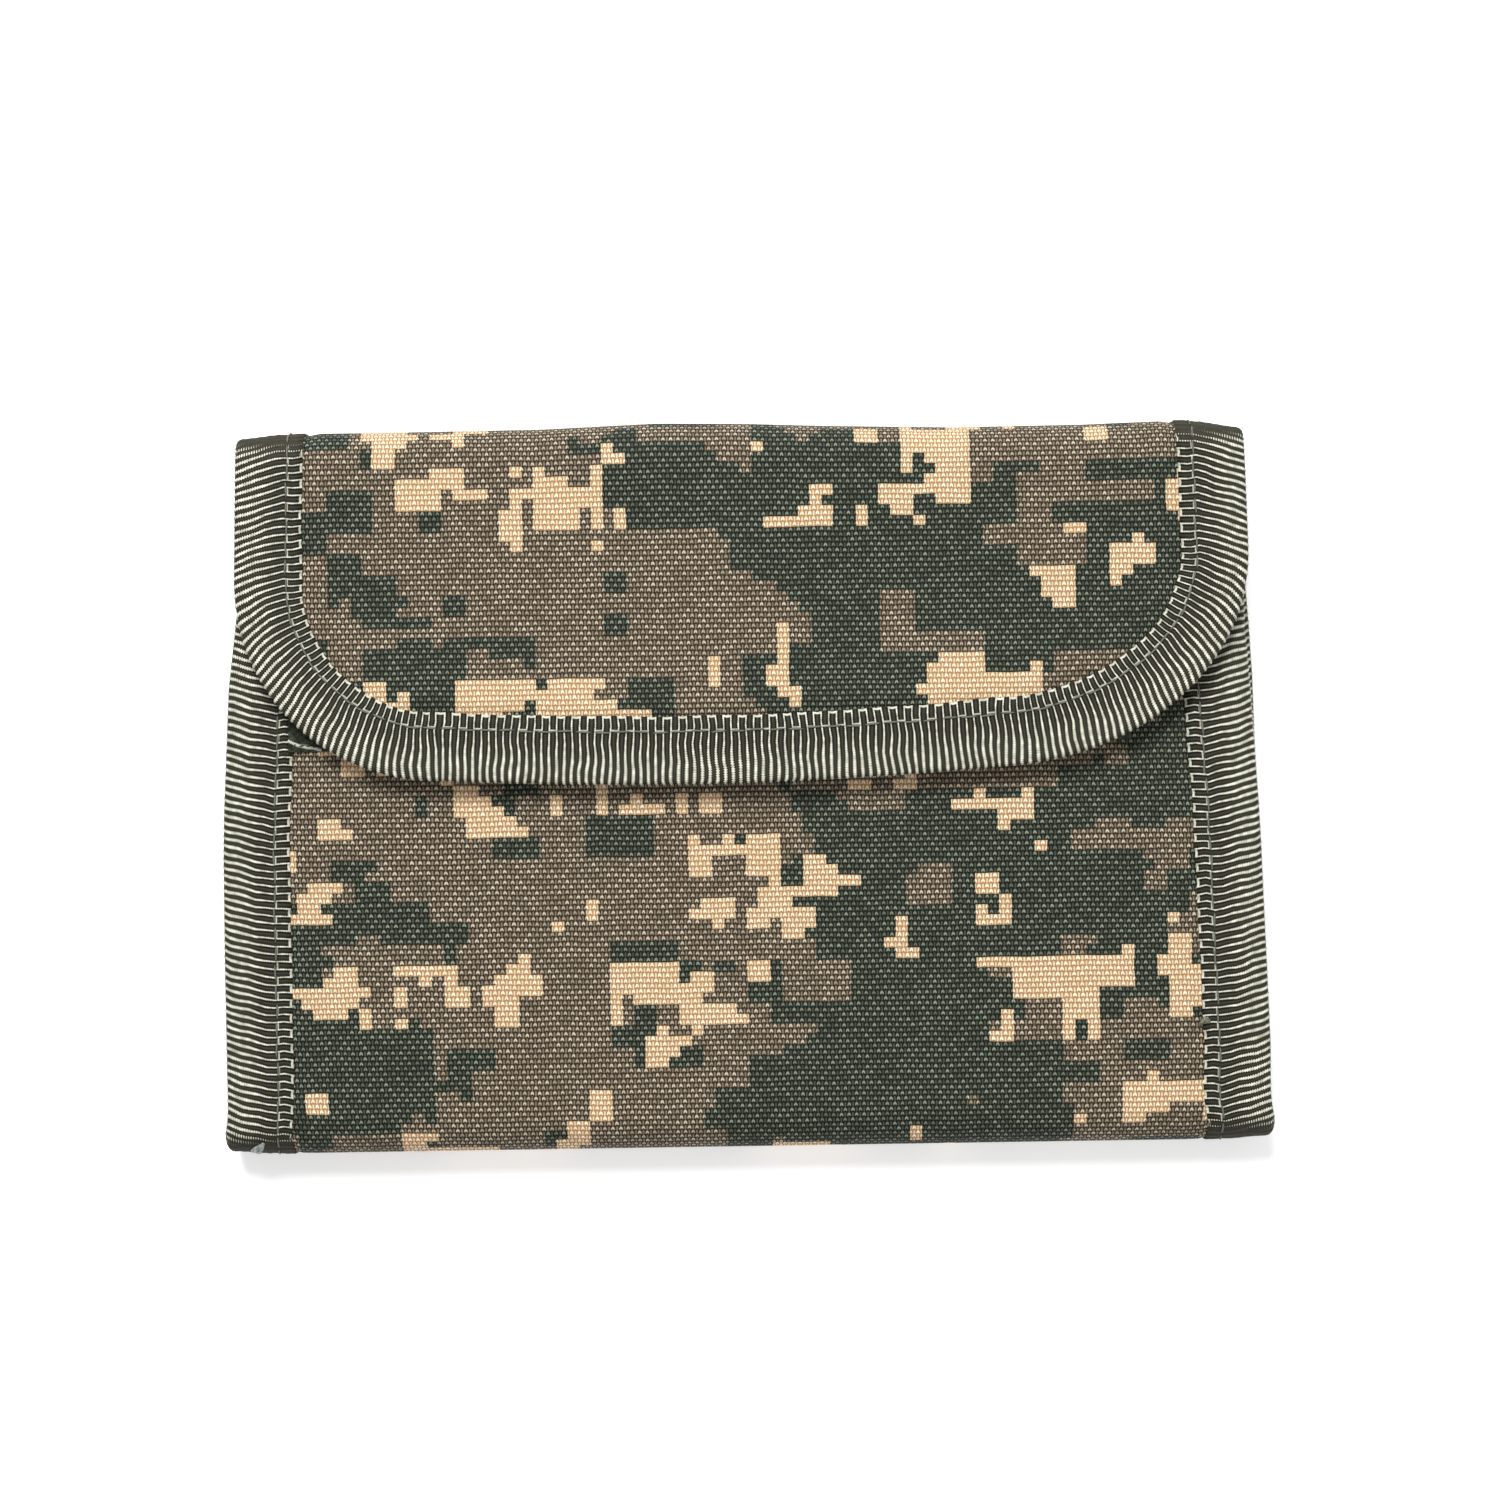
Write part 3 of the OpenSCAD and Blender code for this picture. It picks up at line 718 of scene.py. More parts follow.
STITCH_TURN = circle(6)


def stitch(rings, thick):
    """The share of a stitch's length at each of its rings, its radius there, and its arch from 0 to 1."""
    share = np.linspace(0, 1, rings)[:, None]
    return share, thick * (1 - (2 * share - 1) ** 6 * 0.75), 1 - (2 * share - 1) ** 4


def stitches(panel, name, line, inward, depth, seed):
    """A row of single stitches along a tape, on its outer leg and its inner one."""
    length, gap = 2.15, 0.55
    own = arc_lengths(line)
    share, radius, arch = stitch(7, 0.13)
    parts = []
    for number, start in enumerate(np.arange(0.6, own[-1] - length, length + gap)):
        at = start + share * length
        centre, normal = pick(line, own, at), pick(inward, own, at)
        sway = 0.1 * math.sin(number * 1.9 + seed) + 0.12 * (share - 0.5) * math.cos(number * 2.3 + seed)
        spot = centre + normal * (LEG / 2 - SEAM_IN + sway + radius * np.cos(STITCH_TURN))[..., None]
        top = 0.16 - 0.2 * arch
        for sign, middle in ((1, top), (-1, np.interp(at, own, depth) - top)):
            down = middle + sign * radius * np.sin(STITCH_TURN) * 0.8
            parts.append(ring_part(panel.place(spot[..., 0], spot[..., 1], down), at, STITCH_TURN))
    return joined(name, parts, THREAD)


# ---- materials

CAMO = camo_cloth()
TAPE = rib_tape()
LINING = fine_cloth("lining_cloth", 0.34, 0.3, (58, 60, 46), (24, 25, 19), (96, 98, 80))
FELT = felt()
THREAD = sewing_thread("thread", (62, 66, 54), (126, 130, 112))
LOOSE = sewing_thread("loose_thread", (126, 128, 114), (214, 214, 200))
MELTED = plain("melted_thread", (82, 88, 86), (158, 163, 158), 0.35, 0.5, 0.05)
ZIP_CLOTH = fine_cloth("zipper_tape_cloth", 0.28, 0.5, (40, 42, 32), (16, 17, 13), (66, 68, 54))
NYLON = plain("zipper_coil_nylon", (34, 36, 30), (56, 58, 48), 0.35, 1.4, 0.03)
HOOKS = plain("hook_nylon", (40, 43, 33), (62, 66, 52), 0.7, 1.2, 0.03, Specular_IOR_Level=0.2)
PILE = plain("loop_pile", (34, 37, 28), (70, 74, 58), 0.9, 0.6, 0.1, Specular_IOR_Level=0.2)
METAL = worn_enamel()
VINYL = vinyl()


# ---- outer cloth

def flap_centreline():
    """The middle of the flap's tape, in the layout, from the left end of the spine round to the right."""
    low_at = FLAP.a_far - LEG / 2
    left_w, left_h, right_w, right_h = 23.6, 23.3, 32.3, 25.0      # of its rounded corners
    sag_x, sag_rate, sag = -9.0, 0.0009, 0.2      # where the lower edge sags, how sharply, and how far

    def lowest(x):
        """The lower edge, a little lower in its middle than at its ends."""
        return low_at - (sag_rate * (x - sag_x) ** 2 - sag)

    share = np.linspace(0, 1, 60)
    turn = np.linspace(0, math.pi / 2, 60)[1:-1]
    start_l, start_r = lowest(-42.0) - left_h, lowest(35.0) - right_h
    x_l = -(FLAP.edge(start_l) - LEG / 2) + left_w
    x_r = (FLAP.edge(start_r) - LEG / 2) - right_w
    a_l, a_r = share * start_l, (1 - share) * start_r
    x = np.linspace(x_l, x_r, 60)
    runs = [(-(FLAP.edge(a_l) - LEG / 2), a_l),
            (x_l - left_w * np.cos(turn), start_l + left_h * np.sin(turn)),
            (x, lowest(x)),
            (x_r + right_w * np.sin(turn), start_r + right_h * np.cos(turn)),
            (FLAP.edge(a_r) - LEG / 2, a_r)]
    return np.vstack([np.stack(run, -1) for run in runs])


FLAP_LINE, _ = resample(flap_centreline(), 0.8)
FLAP_WAY = np.gradient(FLAP_LINE, axis=0)
FLAP_WAY /= np.linalg.norm(FLAP_WAY, axis=1)[:, None]
FLAP_IN = np.stack([FLAP_WAY[:, 1], -FLAP_WAY[:, 0]], -1)      # unit vectors into the flap
FLAP_EDGE = FLAP_LINE - FLAP_IN * LEG / 2


def flap_gap(x, a):
    """Distance of layout points from the flap's bound edge."""
    return np.min([np.hypot(x - edge_x, a - edge_a) for edge_x, edge_a in FLAP_EDGE[::2]], 0)


def flap_sheet(name, material, depth, thickness, inset, a_from=0.0, dip=0.4, held="folded"):
    """A layer of the flap, cut to its rounded outline less inset."""
    outline = FLAP_LINE + FLAP_IN * (inset - LEG / 2)
    lowest = int(np.argmax(outline[:, 1]))
    a_end = outline[lowest, 1] - 0.02
    a = a_from + (a_end - a_from) * (1 - (1 - np.linspace(0, 1, 80)) ** 2.2)
    a[-1] = a_end
    left, right = (np.interp(a, side[:, 1], side[:, 0])
                   for side in (outline[:lowest + 1], outline[lowest:][::-1]))
    widths = right - left
    x = left[:, None] + widths[:, None] * np.linspace(0, 1, 90)
    grid_a = np.broadcast_to(a[:, None], x.shape)
    piece = FLAP.layer(name, material, x, grid_a, flap_gap(x, grid_a), depth, thickness, dip)
    area = float(np.sum((widths[1:] + widths[:-1]) / 2 * np.diff(a)))
    cut_size(piece, float(np.ptp(x)), float(a_end - a_from), "flap", area, held)
    return piece


def side_line(panel, sign, a_to):
    """The middle of a side tape in the layout, with its inward normals."""
    a = np.linspace(0, a_to, 80)
    return np.stack([sign * (panel.edge(a) - LEG / 2), a], -1), np.tile([[-sign, 0.0]], (len(a), 1))


def bind(panel, suffix, line, inward, depth, lean, seeds, attach, tape_nodes, stitch_nodes=(), sealed=0.0):
    """Tape round an edge of the panel, with its seam."""
    piece = tape(panel, panel.name + "_tape" + suffix, line, inward, depth, lean, seeds[0], sealed)
    attach(piece, "binding_tape", *tape_nodes)
    piece = stitches(panel, panel.name + "_stitches" + suffix, line, inward, depth, seeds[1])
    attach(piece, "thread", *stitch_nodes)


for panel, a_to, nodes in ((FRONT, FRONT.a_far - 0.5, ["front_shell"]),
                           (BACK_LOW, BACK_LOW.a_far, ["bottom_fold_shell", "back_shell"]),
                           (BACK_HIGH, BACK_HIGH.a_far, ["top_fold_shell", "back_shell"])):
    piece = panel.cloth(panel.name + "_cloth", CAMO, CLOTH_IN, CLOTH_T, a_to)
    panel.attach(piece, "camo_cloth", *nodes)
FLAP.attach(flap_sheet("flap_cloth", CAMO, CLOTH_IN, CLOTH_T, 0.6), "camo_cloth", "flap_shell")

# The thickness under a side tape: heights at which layers end, and the thickness at each
FOLD_DEPTH = LINING_Z + LINING_T + 0.4
BACK_STEPS = ([-49.6, -47.4, -43.0, -38.3, 2.5, 7.0, 14.5, 19.0, 26.5, 31.0, 44.5, 48.0],
              [FOLD_DEPTH, 2.6, 2.6, BACK_T, BACK_T, 3.6, 3.6, 3.1, 3.1, 2.6, 2.6, FOLD_DEPTH])
FRONT_STEPS = ([-50.6, -48.6], [FOLD_DEPTH, FRONT_DEPTH])
LEAN = 0.22

for label, sign in (("left", -1), ("right", 1)):
    for panel, fold, a_to, steps, lean, seeds in (
            (FRONT, "", FRONT.a_far - LEG - 0.1, FRONT_STEPS, -LEAN, (2.0 + sign, sign)),
            (BACK_LOW, "bottom_fold", BACK_LOW.a_far, BACK_STEPS, LEAN, (5.0 + sign, sign + 4)),
            (BACK_HIGH, "top_fold", BACK_HIGH.a_far, BACK_STEPS, LEAN, (5.0 + sign, sign + 4))):
        line, inward = side_line(panel, sign, a_to)
        depth = np.interp(panel.bend(line[:, 1])[0], *steps)
        whose = "back" if fold else "front"
        nodes = [whose + "_binding_" + label] + ([f"{fold}_binding_{label}"] if fold else [])
        bind(panel, "_" + label, line, inward, depth, np.full(len(line), lean), seeds, panel.attach, nodes,
             [whose + "_stitching"])

top_half = float(FRONT.edge(FRONT.a_far)) + 0.25
line = np.stack([np.linspace(-top_half, top_half, 80), np.full(80, FRONT.a_far - LEG / 2)], -1)
bind(FRONT, "_top", line, np.tile([[0.0, -1.0]], (80, 1)), np.full(80, FRONT_DEPTH + 0.3), np.full(80, 0.05),
     (11.0, 12), partial(fasten, "front_panel"), ["front_binding_top"], sealed=0.8)

flap_depth = np.interp(FLAP_LINE[:, 1], [0, FLAP.a_flat, FLAP.a_flat + 3], [1.7, 1.6, 1.5])
share = np.linspace(-1, 1, len(FLAP_LINE))
flap_lean = 0.28 * np.sign(share) * smooth(np.abs(share), 0.3, 0.75)
bind(FLAP, "", FLAP_LINE, FLAP_IN, flap_depth, flap_lean, (7.0, 9.0), FLAP.attach, ["flap_binding"],
     ["flap_stitching"])


# ---- lining and stiffening

FELT_IN = LEG + 2.0     # the felt stops short of the tape
for panel, node in ((FRONT, "front"), (BACK_LOW, "back"), (BACK_HIGH, "back")):
    a_edge = panel.a_far - (0.6 if panel is FRONT else 0)
    lining = panel.cloth(panel.name + "_inside", LINING, LINING_Z, LINING_T, a_edge, dip=0.0)
    panel.attach(lining, "lining_cloth", node + "_lining", panel.bodies[0] + "_lining")
    padding = panel.cloth(panel.name + "_felt", FELT, CLOTH_T + 0.12, LINING_Z - CLOTH_T - 0.2,
                          a_edge - (FELT_IN if panel is FRONT else 0), FELT_IN, panel.a_flat + 2, 0.0,
                          "laid")
    fasten(panel.bodies[1], padding, "interlining", node + "_interlining")

FLAP.attach(flap_sheet("flap_inside", LINING, FLAP_LINING_Z, LINING_T, 1.0, dip=-0.25), "lining_cloth",
            "flap_lining")
padding = flap_sheet("flap_felt", FELT, CLOTH_T + 0.1, 0.35, FELT_IN, FLAP.a_flat + 2, 0.0, "laid")
fasten("flap", padding, "interlining", "flap_interlining")


# ---- pockets

class Face:
    """A face of a flat panel. Levels are measured from base, the way that up says."""

    def __init__(self, body, base, up, panel=None):
        self.body, self.base, self.up, self.panel = body, base, up, panel

    def at(self, x, y, level):
        """Points at a level over the face, settled as its panel is."""
        x, y, level = (part.astype(float) for part in np.broadcast_arrays(x, y, level))
        points = np.stack([x, y, self.base + self.up * level], -1)
        return self.panel.settle(points, x, self.panel.to_a(y)) if self.panel else points

    def sheet(self, name, x, y, level, thick, material, size, slot, *nodes, uv=None):
        """A sheet on the face, from a level and thick over it, cut to a size."""
        uv = np.stack([x, y], -1) if uv is None else uv
        piece = slab(name, self.at(x, y, level + thick), self.at(x, y, level), uv, material)
        cut_size(piece, *size, self.body)
        fasten(self.body, piece, slot, *nodes)
        return piece


BACK_IN = Face("back_panel", 0.0, 1)
FRONT_FACE = Face("front_panel", FRONT_T, -1, FRONT)
HEM = 3.7               # distance of a hem's seam from its fold
POCKET_IN = 0.8


def bulge(x, y, inset, hems, seed):
    """How far a pocket's cloth stands proud: soft waves, and fuller towards its open edges."""
    free = smooth(half_w(y) - inset - np.abs(x), LEG, LEG + 16)
    rise = 0.05 * ripple(x, y, seed, 30.0)
    for h, w in hems:
        rise = rise + 0.3 * smooth((h - y) * w, 14, 0) * (0.8 + 0.2 * ripple(x, y, seed + 2, 40.0))
    return rise * free


def pocket(name, face, y0, y1, inset, level, hems, node, seed):
    """A pocket's cloth from y0 up to y1. hems are its folded edges, each a height and the way it faces."""
    at_hem = np.array([0, 0.15, 0.4, 3.6, 3.9, 4.2, 4.6])
    y = np.unique(np.concatenate([np.linspace(y0, y1, 50)] + [h - w * at_hem for h, w in hems]))
    y = y[(y >= y0) & (y <= y1)][:, None]
    x = np.linspace(-1, 1, 70) * (half_w(y) - inset)
    y = np.broadcast_to(y, x.shape)
    rise = bulge(x, y, inset, hems, seed)
    fold, wear = 0 * x, 0 * x
    for h, w in hems:
        into = (h - y) * w
        fold = fold + 0.22 * smooth(into, 4.6, 4.2) * (1 - 0.8 * np.exp(-((into - HEM) / 0.3) ** 2))
        fold = fold - 0.12 * smooth(into, 0.4, 0)
        # Lighter along each folded mouth: wear, and a painted highlight on the fold
        wear = np.maximum(wear, smooth(into, 0.5, 0.1))
    size = 2 * (half_w((y0 + y1) / 2) - inset), y1 - y0
    piece = face.sheet(name, x, y, level + rise, LINING_T + fold, LINING, size, "lining_cloth", node)
    paint(piece, "wear", np.concatenate([wear, wear]))


def seam(name, face, runs, seed=1.0):
    """Single stitches along straight runs, each (x0, y0, x1, y1, level). A level may depend on x and y."""
    length, gap = 2.1, 0.6
    share, radius, arch = stitch(6, 0.15)
    parts = []
    for x0, y0, x1, y1, level in runs:
        total = math.hypot(x1 - x0, y1 - y0)
        way_x, way_y = (x1 - x0) / total, (y1 - y0) / total
        for number, start in enumerate(np.arange(0.3, total - length, length + gap)):
            at = start + share * length
            across = radius * np.cos(STITCH_TURN) + 0.08 * math.sin(number * 1.9 + seed)
            x, y = x0 + way_x * at - way_y * across, y0 + way_y * at + way_x * across
            up = (level(x, y) if callable(level) else level) - 0.06
            points = face.at(x, y, up + 0.1 * arch + radius * np.sin(STITCH_TURN) * 0.8)
            parts.append(ring_part(points, at, STITCH_TURN))
    fasten(face.body, joined(name, parts, THREAD), "thread")


def over(roof, mouth, seed):
    """The level of a pocket's face, for the seams on it."""
    return lambda x, y: roof + bulge(x, y, POCKET_IN, [(mouth, 1)], seed)


CARDS = [("card_pocket_" + which, "card_sheet_" + which) for which in ("rear", "middle", "front")]
CARD_TOPS = [high(node)[1] for node, _ in CARDS]
CARD_ROOFS = [high(node)[2] for node, _ in CARDS]
CARD_LOW = low("card_pocket_front")[1]
BILL_TOP, BILL_ROOF = high("bill_pocket")[1:]
DIVIDER_X = 30.0        # the sewn line that ends the card pockets, with a slot to its right
SEAM_X = half_w(0) - LEG - 1

pocket("bill_sheet", BACK_IN, low("bill_pocket")[1], BILL_TOP, POCKET_IN, BILL_ROOF - LINING_T,
       [(BILL_TOP, 1)], "bill_pocket", 3.0)
runs = [(-SEAM_X, BILL_TOP - HEM, SEAM_X, BILL_TOP - HEM, over(BILL_ROOF, BILL_TOP, 3.0))]
lowest = CARD_LOW + 1.2
for (node, name), mouth, roof, below in zip(CARDS, CARD_TOPS, CARD_ROOFS, CARD_TOPS[1:] + [lowest - 0.5]):
    pocket(name, BACK_IN, CARD_LOW, mouth, POCKET_IN, roof - LINING_T, [(mouth, 1)], node, 5.0 + mouth)
    level = over(roof, mouth, 5.0 + mouth)
    runs.append((-SEAM_X, mouth - HEM, SEAM_X, mouth - HEM, level))
    runs.append((DIVIDER_X, below + 0.5, DIVIDER_X, mouth - 1, level))
runs.append((-SEAM_X, lowest, SEAM_X, lowest, CARD_ROOFS[2]))
seam("pocket_seams", BACK_IN, runs)


# ---- zipped coin pocket

TAPE_LOW, TAPE_HIGH = low("zipper_tape_upper"), high("zipper_tape_upper")
ZIP_Y = (low("zipper_tape_lower")[1] + TAPE_HIGH[1]) / 2
ZIP_HALF = TAPE_HIGH[1] - ZIP_Y
ZIP_LEVEL = FRONT_T - TAPE_HIGH[2]
COIN_LEVEL = FRONT_T - low("coin_pocket_upper")[2] - LINING_T
COIN_ROOF = COIN_LEVEL + LINING_T
SLOT_HALF = low("coin_pocket_upper")[1] - ZIP_Y
COIL_X = (low("zipper_coil_upper")[0], high("zipper_coil_upper")[0])
COIL_ROOF = FRONT_T - low("zipper_coil_upper")[2]
COIL_LEVEL = (ZIP_LEVEL + 0.3 + COIL_ROOF) / 2

COIN_IN = FRONT_IN + POCKET_IN
SLOT_TOP, SLOT_LOW = ZIP_Y + SLOT_HALF, ZIP_Y - SLOT_HALF

pocket("coin_sheet_upper", FRONT_FACE, SLOT_TOP, FRONT_TOP - POCKET_IN, COIN_IN, COIN_LEVEL,
       [(SLOT_TOP, -1)], "coin_pocket_upper", 12.0)
pocket("coin_sheet_lower", FRONT_FACE, low("coin_pocket_lower")[1], SLOT_LOW, COIN_IN, COIN_LEVEL, [],
       "coin_pocket_lower", 14.0)


def zipper_tape(which, sign):
    """One side of the zipper's woven tape, thinner at the line where the coils meet."""
    y = ZIP_Y + sign * np.concatenate([[0.25, 0.4], np.linspace(0.7, ZIP_HALF - 0.3, 10), [ZIP_HALF]])
    x, y = np.broadcast_arrays(np.linspace(TAPE_LOW[0], TAPE_HIGH[0], 90), y[:, None])
    thick = 0.28 - 0.1 * (np.abs(y - ZIP_Y) < 0.3)
    FRONT_FACE.sheet("zip_tape_" + which, x, y, ZIP_LEVEL, thick, ZIP_CLOTH, (TAPE_HIGH[0] * 2, ZIP_HALF),
                     "zipper_tape_cloth", "zipper_tape_" + which)


def zipper_coil(which, sign):
    """A nylon coil and its cord: flattened turns whose heads reach past the zipper's line, between those of
    the other side."""
    turns = int((COIL_X[1] - COIL_X[0]) / COIL_PITCH) - 1
    middle, wide, high_up = 0.95, 1.1, 0.36     # a turn's middle from the zipper's line, and its half sizes
    t = np.linspace(0, turns, turns * 16 + 1)
    angle = math.tau * t
    x = COIL_X[0] + (t + (0.75 if sign > 0 else 0.25)) * COIL_PITCH
    y = ZIP_Y + sign * (middle - wide * np.cos(angle))
    points = FRONT_FACE.at(x, y, COIL_LEVEL + high_up * np.sin(angle))
    head = 0.23 + 0.07 * np.exp(-((np.cos(angle) - 1) / 0.25) ** 2)
    cord_x = COIL_X[0] + np.linspace(0.5, turns * COIL_PITCH, 120)
    cord = FRONT_FACE.at(cord_x, ZIP_Y + sign * 1.1, COIL_LEVEL)
    piece = joined("zip_coil_" + which, [tube(points, head, 6), tube(cord, 0.3, 6)], NYLON)
    fasten("front_panel", piece, "zipper_coil_nylon", "zipper_coil_" + which)


for which, sign in (("lower", -1), ("upper", 1)):
    zipper_tape(which, sign)
    zipper_coil(which, sign)
seam("zip_seams", FRONT_FACE,
     [(-SEAM_X, ZIP_Y + sign * (SLOT_HALF + 0.9), SEAM_X, ZIP_Y + sign * (SLOT_HALF + 0.9), COIN_ROOF + lift)
      for sign, lift in ((1, 0.1), (-1, 0.0))], 3.0)


# ---- window

FRAME_W, FRAME_T = 4.5, 0.38    # of the window's tape
FRAME_LEVEL = COIN_ROOF + 0.2


def ribbon(name, start, end, seed, *nodes):
    """A flat strip of ribbed tape from start to end. Both ends are mitred, with its left edge the longer."""
    start, end = np.array(start, float), np.array(end, float)
    total = np.linalg.norm(end - start)
    way = (end - start) / total
    s = np.linspace(0, 1, int(total / RIB * 6))[:, None]
    v = np.concatenate([[0, 0.04, 0.12], np.linspace(0.35, FRAME_W - 0.35, 12),
                        [FRAME_W - 0.12, FRAME_W - 0.04, FRAME_W]])
    up = np.concatenate([[0.35, 0.75], np.ones(14), [0.75, 0.35]])
    along = (FRAME_W - v) + s * (total - 2 * (FRAME_W - v))
    ribs = along / RIB + 0.2 * ripple(along, v * 2, seed, 15.0)
    relief = 0.05 * np.cos(math.tau * (ribs - 0.5)) + 0.03 * np.cos(4 * math.pi * ribs) - 0.08
    side = v - FRAME_W / 2 - 0.08 * np.cos(math.pi * ribs) * (v < 0.3)
    x = start[0] + way[0] * along - way[1] * side
    y = start[1] + way[1] * along + way[0] * side
    piece = FRONT_FACE.sheet(name, x, y, FRAME_LEVEL, FRAME_T * up + relief, TAPE, (FRAME_W, total),
                             "binding_tape", *nodes, uv=np.stack([ribs, v + 0 * ribs], -1))
    piece.data.attributes.new("bare", "FLOAT", "POINT")


def window():
    """A soft vinyl sheet, sewn down on three sides and open at its lower edge, with ribbed tape round it."""
    (x0, y0), (x1, y1) = corners("id_window_trim")
    x, y = np.meshgrid(np.linspace(x0, x1, 60), np.linspace(y0, y1, 45))
    edge = np.minimum(np.minimum(x - x0, x1 - x), y1 - y)
    puff = 0.22 * smooth(edge, 1.5, 6.0) + 0.05 * ripple(x, y, 6.0, 25.0) * smooth(edge, 3, 9)
    FRONT_FACE.sheet("vinyl_window", x, y, COIN_ROOF + 0.03 + puff, 0.15, VINYL, (x1 - x0, y1 - y0),
                     "window_vinyl", "id_window")

    half, line = FRAME_W / 2, FRAME_W - SEAM_IN
    ribbon("window_tape_top", (x0, y1 - half), (x1, y1 - half), 2.0, "id_window_trim")
    ribbon("window_tape_right", (x1 - half, y1), (x1 - half, y0), 3.0)
    ribbon("window_tape_bottom", (x1, y0 + half), (x0, y0 + half), 4.0)
    ribbon("window_tape_left", (x0 + half, y0), (x0 + half, y1), 5.0)
    left, right, top, bottom = x0 + line, x1 - line, y1 - line, y0 + line
    roof = FRAME_LEVEL + FRAME_T - 0.1
    seam("window_seam", FRONT_FACE, [(left, top, right, top, roof), (right, top, right, bottom, roof),
                                     (left, bottom, left, top, roof)], 4.0)


window()


# ---- zipper hardware

SLIDER_HALF = (high("zipper_slider") - low("zipper_slider")) / 2
SLIDER_X = (low("zipper_slider") + SLIDER_HALF)[0]
PIN_Z = FRONT_T - 5.9                   # the pin that the pull turns on
SHIELD_TOP, SHIELD_UNDER = FRONT_T - 2.1, FRONT_T - 2.7         # the shield inside the pocket
SHIELD_OVER, SHIELD_FACE = FRONT_T - COIL_ROOF - 0.1, FRONT_T - 5.0     # the shield over the coils


def plate(name, outline, z0, z1, bevel, hole=None):
    """A bevelled metal plate with an outline of (x, y) from the slider's middle, and a hole (x, radius)."""
    solid = bmesh.new()

    def rim(points):
        verts = [solid.verts.new(((SLIDER_X + x) * MM, (ZIP_Y + y) * MM, z0 * MM)) for x, y in points]
        return [solid.edges.new(pair) for pair in zip(verts, verts[1:] + verts[:1])]

    edges = rim(outline)
    if hole:
        x, radius = hole
        edges += rim([(x + radius * math.cos(t), radius * math.sin(t)) for t in circle(24)])
    bmesh.ops.triangle_fill(solid, use_beauty=True, edges=edges)
    made = bmesh.ops.extrude_face_region(solid, geom=solid.faces[:])
    bmesh.ops.translate(solid, vec=(0, 0, (z1 - z0) * MM),
                        verts=[v for v in made["geom"] if isinstance(v, bmesh.types.BMVert)])
    bmesh.ops.recalc_face_normals(solid, faces=solid.faces[:])
    mesh = bpy.data.meshes.new(name)
    solid.to_mesh(mesh)
    solid.free()
    piece = linked(name, mesh, METAL)
    put(piece.modifiers.new("rounding", "BEVEL"), width=bevel * MM, segments=3, limit_method="ANGLE",
        angle_limit=math.radians(40))
    return piece


def merge(name, pieces, node):
    """Applies the pieces' modifiers and joins them into one object, which takes the place of a node."""
    bpy.ops.object.select_all(action="DESELECT")
    for piece in pieces:
        piece.select_set(True)
    bpy.context.view_layer.objects.active = pieces[0]
    bpy.ops.object.convert(target="MESH")
    bpy.ops.object.join()
    pieces[0].name = name
    fasten(node, pieces[0], "zipper_metal", node)


def slider():
    """The slider's two shields, their flanges and wedge, and the bridge with the pull's pin."""
    half, wide = SLIDER_HALF[:2]
    t = circle(48)
    nose = np.sign(np.cos(t)) * np.abs(np.cos(t)) ** 0.6
    flare = 1 - 0.14 * (nose > 0.2) * np.abs(nose)
    shield = list(zip(nose * half, np.sign(np.sin(t)) * np.abs(np.sin(t)) ** 0.75 * wide * flare))
    parts = [plate("shield", shield, SHIELD_UNDER, SHIELD_TOP, 0.15),
             plate("shield", shield, SHIELD_FACE, SHIELD_OVER, 0.2)]
    flange = [(-2.9, 2.45), (2.6, 2.35), (2.6, 2.8), (-2.9, 2.95)]
    ear = [(-1.0, 1.05), (1.0, 1.05), (1.0, 1.55), (-1.0, 1.55)]
    for sign in (-1, 1):
        for name, outline, z0, z1, bevel in (("flange", flange, SHIELD_OVER - 0.1, FRONT_T - 3.3, 0.1),
                                             ("ear", ear, FRONT_T - 6.4, SHIELD_FACE + 0.1, 0.18)):
            parts.append(plate(name, [(x, sign * y) for x, y in outline][::sign], z0, z1, bevel))
    wedge = [(-3.6, -0.25), (-2.3, -0.1), (-2.3, 0.1), (-3.6, 0.25)]
    parts.append(plate("wedge", wedge, SHIELD_OVER - 0.1, SHIELD_UNDER + 0.1, 0.05))
    pin = np.linspace((SLIDER_X, ZIP_Y - 1.4, PIN_Z), (SLIDER_X, ZIP_Y + 1.4, PIN_Z), 5)
    parts.append(joined("pin", [tube(pin, 0.38 * np.array([0.8, 1, 1, 1, 0.8]), 12)], METAL))
    merge("slider_body", parts, "zipper_slider")


def pull():
    """The pull tab: an eye on the slider's pin, a neck, and a tab with a raised rim and a hole."""
    end = high("zipper_pull")[0] - 2.5 - SLIDER_X      # middle of its round end
    arc = np.linspace(-math.pi / 2, math.pi / 2, 17)
    neck = [(0.7, -0.75), (2.0, -0.85), (3.4, -2.3)]
    tip = [(end + 2.5 * math.cos(t), 2.5 * math.sin(t)) for t in arc]
    shape = neck + tip + [(x, -y) for x, y in neck[::-1]]
    rise = [(4.6, -1.3), (end - 2.6, -1.5), (end - 2.0, 0), (end - 2.6, 1.5), (4.6, 1.3)]
    tab = plate("tab", shape, PIN_Z - 0.28, PIN_Z + 0.28, 0.12, hole=(end, 1.1))
    raised = plate("raised", rise, PIN_Z - 0.42, PIN_Z + 0.42, 0.12)
    angle = np.linspace(0, math.tau, 25)
    ring = np.stack([SLIDER_X + 0.66 * np.cos(angle), ZIP_Y + 0 * angle, PIN_Z + 0.66 * np.sin(angle)], -1)
    merge("pull_tab", [tab, raised, joined("eye", [tube(ring, 0.2, 8)], METAL)], "zipper_pull")


